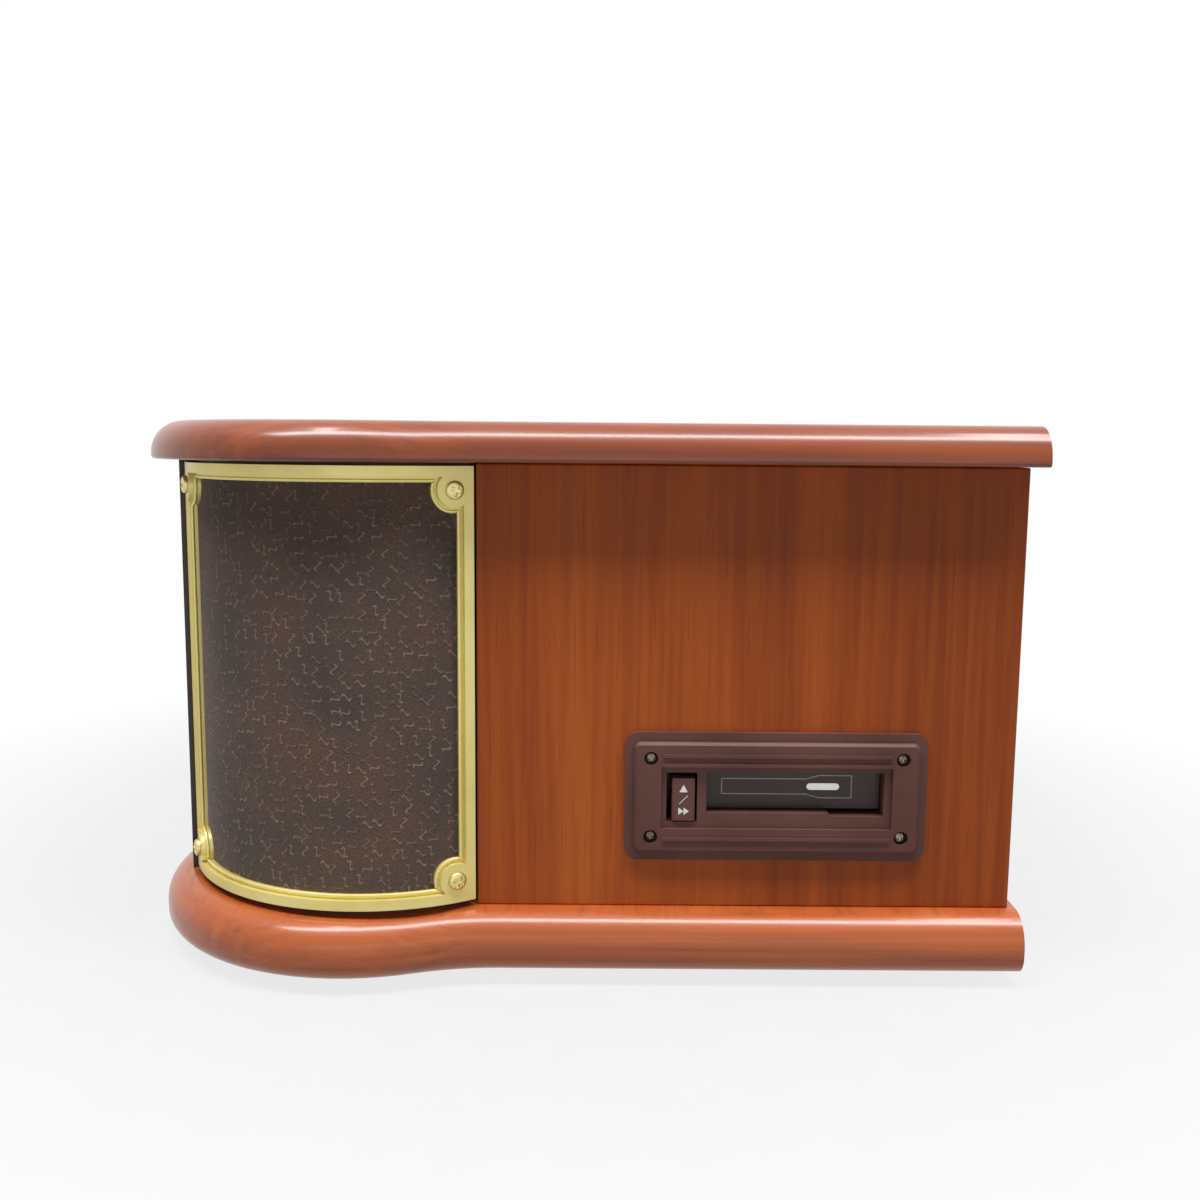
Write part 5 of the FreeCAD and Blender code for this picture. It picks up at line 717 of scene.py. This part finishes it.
def dial_scale():
    """Two rows of figures with their ticks on the dial plate."""
    half = 59.0 * MM
    tick_count = 40
    row_up = 3.0 * MM
    minor, major = 1.6 * MM, 3.0 * MM
    figure_up = 9.4 * MM
    figure_size = 6.4 * MM
    line = 0.35 * MM
    top_values = (88, 92, 96, 100, 104, 108)
    low_values = (53, 60, 70, 80, 100, 120, 140, 160)
    top_span = top_values[-1] - top_values[0]
    low_span = math.log(low_values[-1] / low_values[0])
    top_row = [(value, (value - top_values[0]) / top_span) for value in top_values]
    low_row = [(value, math.log(value / low_values[0]) / low_span) for value in low_values]
    low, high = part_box("dial_plate")
    on = facing(Vector((0, low.y, (low.z + high.z) / 2)), FRONT)
    shape = bmesh.new()
    for side, row in ((1, top_row), (-1, low_row)):
        add_line(shape, (-half, side * row_up), (half, side * row_up), line, on)
        for tick in range(tick_count + 1):
            across = half * (2 * tick / tick_count - 1)
            start, end = side * (row_up + line / 2), side * (row_up + minor)
            add_line(shape, (across, start), (across, end), line / 2, on)
        for value, share in row:
            across = half * (2 * share - 1)
            start, end = side * (row_up - line / 2), side * (row_up - major)
            add_line(shape, (across, start), (across, end), line, on)
            add_text(shape, str(value), figure_size, across, side * figure_up, on)
    new_piece("dial_scale", shape, "cabinet", "dark_ink")


def knob_ribs(name, body, face, radius):
    """Grip ribs round a knob."""
    ribs = 40
    tip_half = 0.3 * RIB_HALF
    outline = [(radius - RIB_HALF, -RIB_HALF), (radius, -RIB_HALF), (radius + RIB_HALF, -tip_half),
               (radius + RIB_HALF, tip_half), (radius, RIB_HALF), (radius - RIB_HALF, RIB_HALF)]
    shape = bmesh.new()
    for rib in range(ribs):
        turn = face @ Matrix.Rotation(2 * math.pi * (rib + 0.5) / ribs, 4, "Z")
        back = [turn @ Vector((x, y, KNOB_SKIRT_LENGTH - KNOB_LENGTH)) for x, y in outline]
        front = [turn @ Vector((x, y, -KNOB_ROUND)) for x, y in outline]
        add_prism(shape, back, front)
    new_piece(name + "_ribs", shape, body, "knob_plastic")


def knob_gilt(name, body, face, radius):
    """A gilt ring behind a knob's ribs and a gilt button on its face."""
    inner, outer = radius + RIB_HALF, radius + 1.4 * MM
    edge = 0.3 * MM
    ring = [(inner, 0), (outer, 0), (outer, edge), (outer - edge, 2 * edge), (inner, 2 * edge)]
    button = 4.2 * MM
    rim, shoulder, crown, top = 0.4 * MM, 0.8 * MM, 1.05 * MM, 1.1 * MM
    dome = [(0, 0), (button, 0), (button, rim), (0.85 * button, shoulder), (0.4 * button, crown), (0, top)]
    shape = bmesh.new()
    add_turned(shape, ring, face @ Matrix.Translation((0, 0, KNOB_SKIRT_LENGTH - KNOB_LENGTH)))
    add_turned(shape, dome, face)
    new_piece(name + "_gilt", shape, body, "brass", smooth=True)


def knob_index(name, body, face, radius):
    """The white line in a knob's groove."""
    start, end = 0.36 * radius, 0.9 * radius
    width = 1.6 * MM
    shape = bmesh.new()
    add_line(shape, (0, start), (0, end), width, face @ Matrix.Translation((0, 0, -KNOB_GROOVE)))
    new_piece(name + "_index", shape, body, "white_ink")


def knob_trim():
    """Ribs, gilt and an index line on each knob."""
    bodies = {"volume_knob": "volume_knob", "function_knob": "function_knob", "tuning_knob": "tuning"}
    for name, body in bodies.items():
        low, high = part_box(name)
        radius = (high.x - low.x) / 2 - KNOB_SKIRT
        face = facing(Vector(((low.x + high.x) / 2, low.y, (low.z + high.z) / 2)), FRONT)
        knob_ribs(name, body, face, radius)
        knob_gilt(name, body, face, radius)
        knob_index(name, body, face, radius)


def panel_marks():
    """Printed ticks round the volume and function knobs."""
    inner, outer = 19.4 * MM, 21.4 * MM
    width = 0.7 * MM
    face_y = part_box("front_panel")[0].y
    shape = bmesh.new()
    for name, span, count in (("volume_knob", 150, 11), ("function_knob", 60, 5)):
        low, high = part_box(name)
        on = facing(Vector(((low.x + high.x) / 2, face_y, (low.z + high.z) / 2)), FRONT)
        for tick in range(count):
            turn = math.radians(span * (2 * tick / (count - 1) - 1))
            way = Vector((math.sin(turn), math.cos(turn)))
            add_line(shape, way * inner, way * outer, width, on)
    new_piece("knob_ticks", shape, "cabinet", "gold_ink")


def deck_marks():
    """Speed figures beside the speed lever."""
    step = 8.0 * MM
    inset = 8.0 * MM
    size = 6.0 * MM
    tick_start, tick_end = -3.2 * MM, -1.4 * MM
    tick_width = 0.5 * MM
    low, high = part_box("speed_lever")
    on = facing(Vector((low.x, (low.y + high.y) / 2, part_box("motor_board")[1].z)), UP, BACK)
    shape = bmesh.new()
    for index, speed in enumerate(("33", "45", "78")):
        up = step * (index - 1)
        add_text(shape, speed, size, -inset, up, on)
        add_line(shape, (tick_start, up), (tick_end, up), tick_width, on)
    new_piece("speed_figures", shape, "cabinet", "white_ink")


def hinge_screws():
    """Countersunk screws in the hinge leaves, each row at its share of the leaves' height."""
    radius, height = 2.2 * MM, 0.7 * MM
    spread = 13.0 * MM
    leaf_half = 20.0 * MM
    knuckle = 1.8 * MM
    spin = 40.0
    for leaf, body, share in (("hinge_cabinet_leaves", "cabinet", 0.4), ("hinge_lid_leaves", "lid", 0.68)):
        low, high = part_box(leaf)
        z = low.z + (high.z - low.z) * share
        shape = bmesh.new()
        for centre in (low.x + leaf_half, high.x - leaf_half):
            for x in (centre - spread, centre, centre + spread):
                on = facing(Vector((x, high.y - knuckle, z)), BACK) @ Matrix.Rotation(spin * x, 4, "Z")
                add_screw_head(shape, on, radius, height, SMALL_SCREW_CELLS)
        new_piece(leaf + "_screws", shape, body, "brass", smooth=True)


def back_screws():
    """Dark screws round the back panel."""
    radius, height = 3.2 * MM, 1.6 * MM
    inset = 10.0 * MM
    count = 4
    spin = 50.0
    low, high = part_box("back_panel")
    shape = bmesh.new()
    for index in range(count):
        x = low.x + inset + (high.x - low.x - 2 * inset) * index / (count - 1)
        for z in (low.z + inset, high.z - inset):
            on = facing(Vector((x, high.y, z)), BACK) @ Matrix.Rotation(spin * x, 4, "Z")
            add_screw_head(shape, on, radius, height, SMALL_SCREW_CELLS)
    new_piece("back_panel_screws", shape, "cabinet", "screw_steel", smooth=True)


def add_bar(shape, start, end, face_y, section):
    """A bar along X inside a face, from the (depth, height) points of its section."""
    near = [Vector((start, face_y - depth, z)) for depth, z in section]
    far = [Vector((end, face_y - depth, z)) for depth, z in section]
    add_prism(shape, near, far)


def vent_louvres():
    """Slanted dark slats behind the vent slots, inside the back panel."""
    half = 60.0 * MM
    slats = 11
    low_z, high_z = 58.0 * MM, 102.0 * MM
    rail = 5.0 * MM
    depth = 6.0 * MM
    thick = 0.8 * MM
    gap = 0.3 * MM
    rise = (high_z - low_z) / slats
    face_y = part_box("back_panel")[0].y
    shape = bmesh.new()
    upright = [(0, low_z), (depth, low_z), (depth, high_z + rise), (0, high_z + rise)]
    for x in (-half, half - rail):
        add_bar(shape, x, x + rail, face_y, upright)
    for slat in range(slats):
        z = low_z + rise * slat
        slanted = [(gap, z), (depth, z + rise + thick), (depth, z + rise + 2 * thick), (gap, z + thick)]
        add_bar(shape, rail - half, half - rail, face_y, slanted)
    new_piece("vent_louvres", shape, "cabinet", "black_plastic")


def floor():
    """A large pale floor that keeps the shadow near the object and turns white further out."""
    half = 4.0
    near, far = 0.25, 0.45
    near_white = 0.80
    shape = bmesh.new()
    corners = ((-half, -half), (half, -half), (half, half), (-half, half))
    shape.faces.new([shape.verts.new((x, y, 0)) for x, y in corners])
    mesh = bpy.data.meshes.new("floor")
    shape.to_mesh(mesh)
    shape.free()
    paint = Shader("floor")
    distance = paint.add("VectorMath", {0: paint.place}, operation="LENGTH").outputs["Value"]
    grain = paint.noise(paint.place, 60.0, 2.0)
    path = paint.add("LightPath", {}).outputs
    seen = paint.math("ADD", path["Is Camera Ray"], path["Is Glossy Ray"])
    seen = paint.math("ADD", seen, path["Is Transmission Ray"])
    white = paint.math("MULTIPLY", paint.range(distance, near, far, near_white, 1.0), seen)
    glow = paint.add("Emission", {"Color": (1, 1, 1, 1), "Strength": 1.0}).outputs["Emission"]
    paint.done(Base_Color=paint.ramp(grain, (0.3, tone(152, 152, 152)), (0.7, tone(160, 160, 160))),
               Roughness=0.9, Specular_IOR_Level=0.1)
    mixed = paint.add("MixShader", {0: white, 1: paint.surface.outputs["BSDF"], 2: glow}).outputs["Shader"]
    paint.feed(paint.tree.nodes["Material Output"].inputs["Surface"], mixed)
    mesh.materials.append(paint.material)
    plane = bpy.data.objects.new("floor", mesh)
    bpy.context.scene.collection.objects.link(plane)


def world():
    """A white surround that lights the object only moderately."""
    white = (1, 1, 1, 1)
    light = 0.10
    sky = bpy.data.worlds.new("studio")
    sky.use_nodes = True
    tree = sky.node_tree
    path = tree.nodes.new("ShaderNodeLightPath").outputs
    sum_one = tree.nodes.new("ShaderNodeMath")
    sum_two = tree.nodes.new("ShaderNodeMath")
    tree.links.new(path["Is Camera Ray"], sum_one.inputs[0])
    tree.links.new(path["Is Glossy Ray"], sum_one.inputs[1])
    tree.links.new(sum_one.outputs["Value"], sum_two.inputs[0])
    tree.links.new(path["Is Transmission Ray"], sum_two.inputs[1])
    lit = tree.nodes["Background"]
    lit.inputs["Color"].default_value = white
    lit.inputs["Strength"].default_value = light
    seen = tree.nodes.new("ShaderNodeBackground")
    seen.inputs["Color"].default_value = white
    mixed = tree.nodes.new("ShaderNodeMixShader")
    tree.links.new(sum_two.outputs["Value"], mixed.inputs[0])
    tree.links.new(lit.outputs["Background"], mixed.inputs[1])
    tree.links.new(seen.outputs["Background"], mixed.inputs[2])
    tree.links.new(mixed.outputs["Shader"], tree.nodes["World Output"].inputs["Surface"])
    bpy.context.scene.world = sky


def lamp(name, place, aim, width, depth, power):
    """A soft rectangular light that points at a place."""
    data = bpy.data.lights.new(name, "AREA")
    data.shape = "RECTANGLE"
    data.size = width
    data.size_y = depth
    data.energy = power
    light = bpy.data.objects.new(name, data)
    light.location = place
    light.rotation_euler = (Vector(aim) - Vector(place)).to_track_quat("-Z", "Y").to_euler()
    bpy.context.scene.collection.objects.link(light)


def lamps():
    """A long key light from above, a glint at each end of the lid, and a weak low fill."""
    lamp("key", (0.77, 0.0, 2.33), (0.215, 0, 0.15), width=3.0, depth=0.42, power=85.0)
    lamp("front_glint", (0.222, -0.30, 1.19), (0.232, -0.086, 0.2), width=0.3, depth=0.1, power=2.0)
    lamp("back_glint", (0.213, 0.486, 1.154), (0.222, 0.159, 0.2), width=0.3, depth=0.1, power=2.0)
    lamp("fill", (1.1, 0.0, 0.22), (0.2, 0, 0.03), width=1.0, depth=0.2, power=0.5)


def camera():
    """The photograph's view of the right side."""
    data = bpy.data.cameras.new("camera")
    data.sensor_width = CAMERA_SENSOR
    data.lens = CAMERA_LENS
    eye = bpy.data.objects.new("camera", data)
    look = (CAMERA_AIM - CAMERA_PLACE).to_track_quat("-Z", "Y").to_matrix().to_4x4()
    eye.matrix_world = Matrix.Translation(CAMERA_PLACE) @ look @ Matrix.Rotation(CAMERA_ROLL, 4, "Z")
    bpy.context.scene.collection.objects.link(eye)
    bpy.context.scene.camera = eye


camera()
paint_nodes()
soften(0.6 * MM, "left_side_panel", "right_side_panel", "back_panel")
soften(1.2 * MM, "left_grille_frame", "right_grille_frame")
soften(0.4 * MM, "cassette_bezel", "eject_key", "cassette_flap", "dial_bezel")
grille_screws()
for side_name, side_sign in (("right", 1), ("left", -1)):
    grille_cloth(side_name + "_grille_cloth", side_sign)
    grille_bead(side_name + "_grille_bead", side_sign)
bezel_screws()
key_marks()
flap_marks()
dial_scale()
knob_trim()
panel_marks()
deck_marks()
hinge_screws()
back_screws()
vent_louvres()
floor()
world()
lamps()
bpy.context.scene.view_settings.view_transform = "Standard"
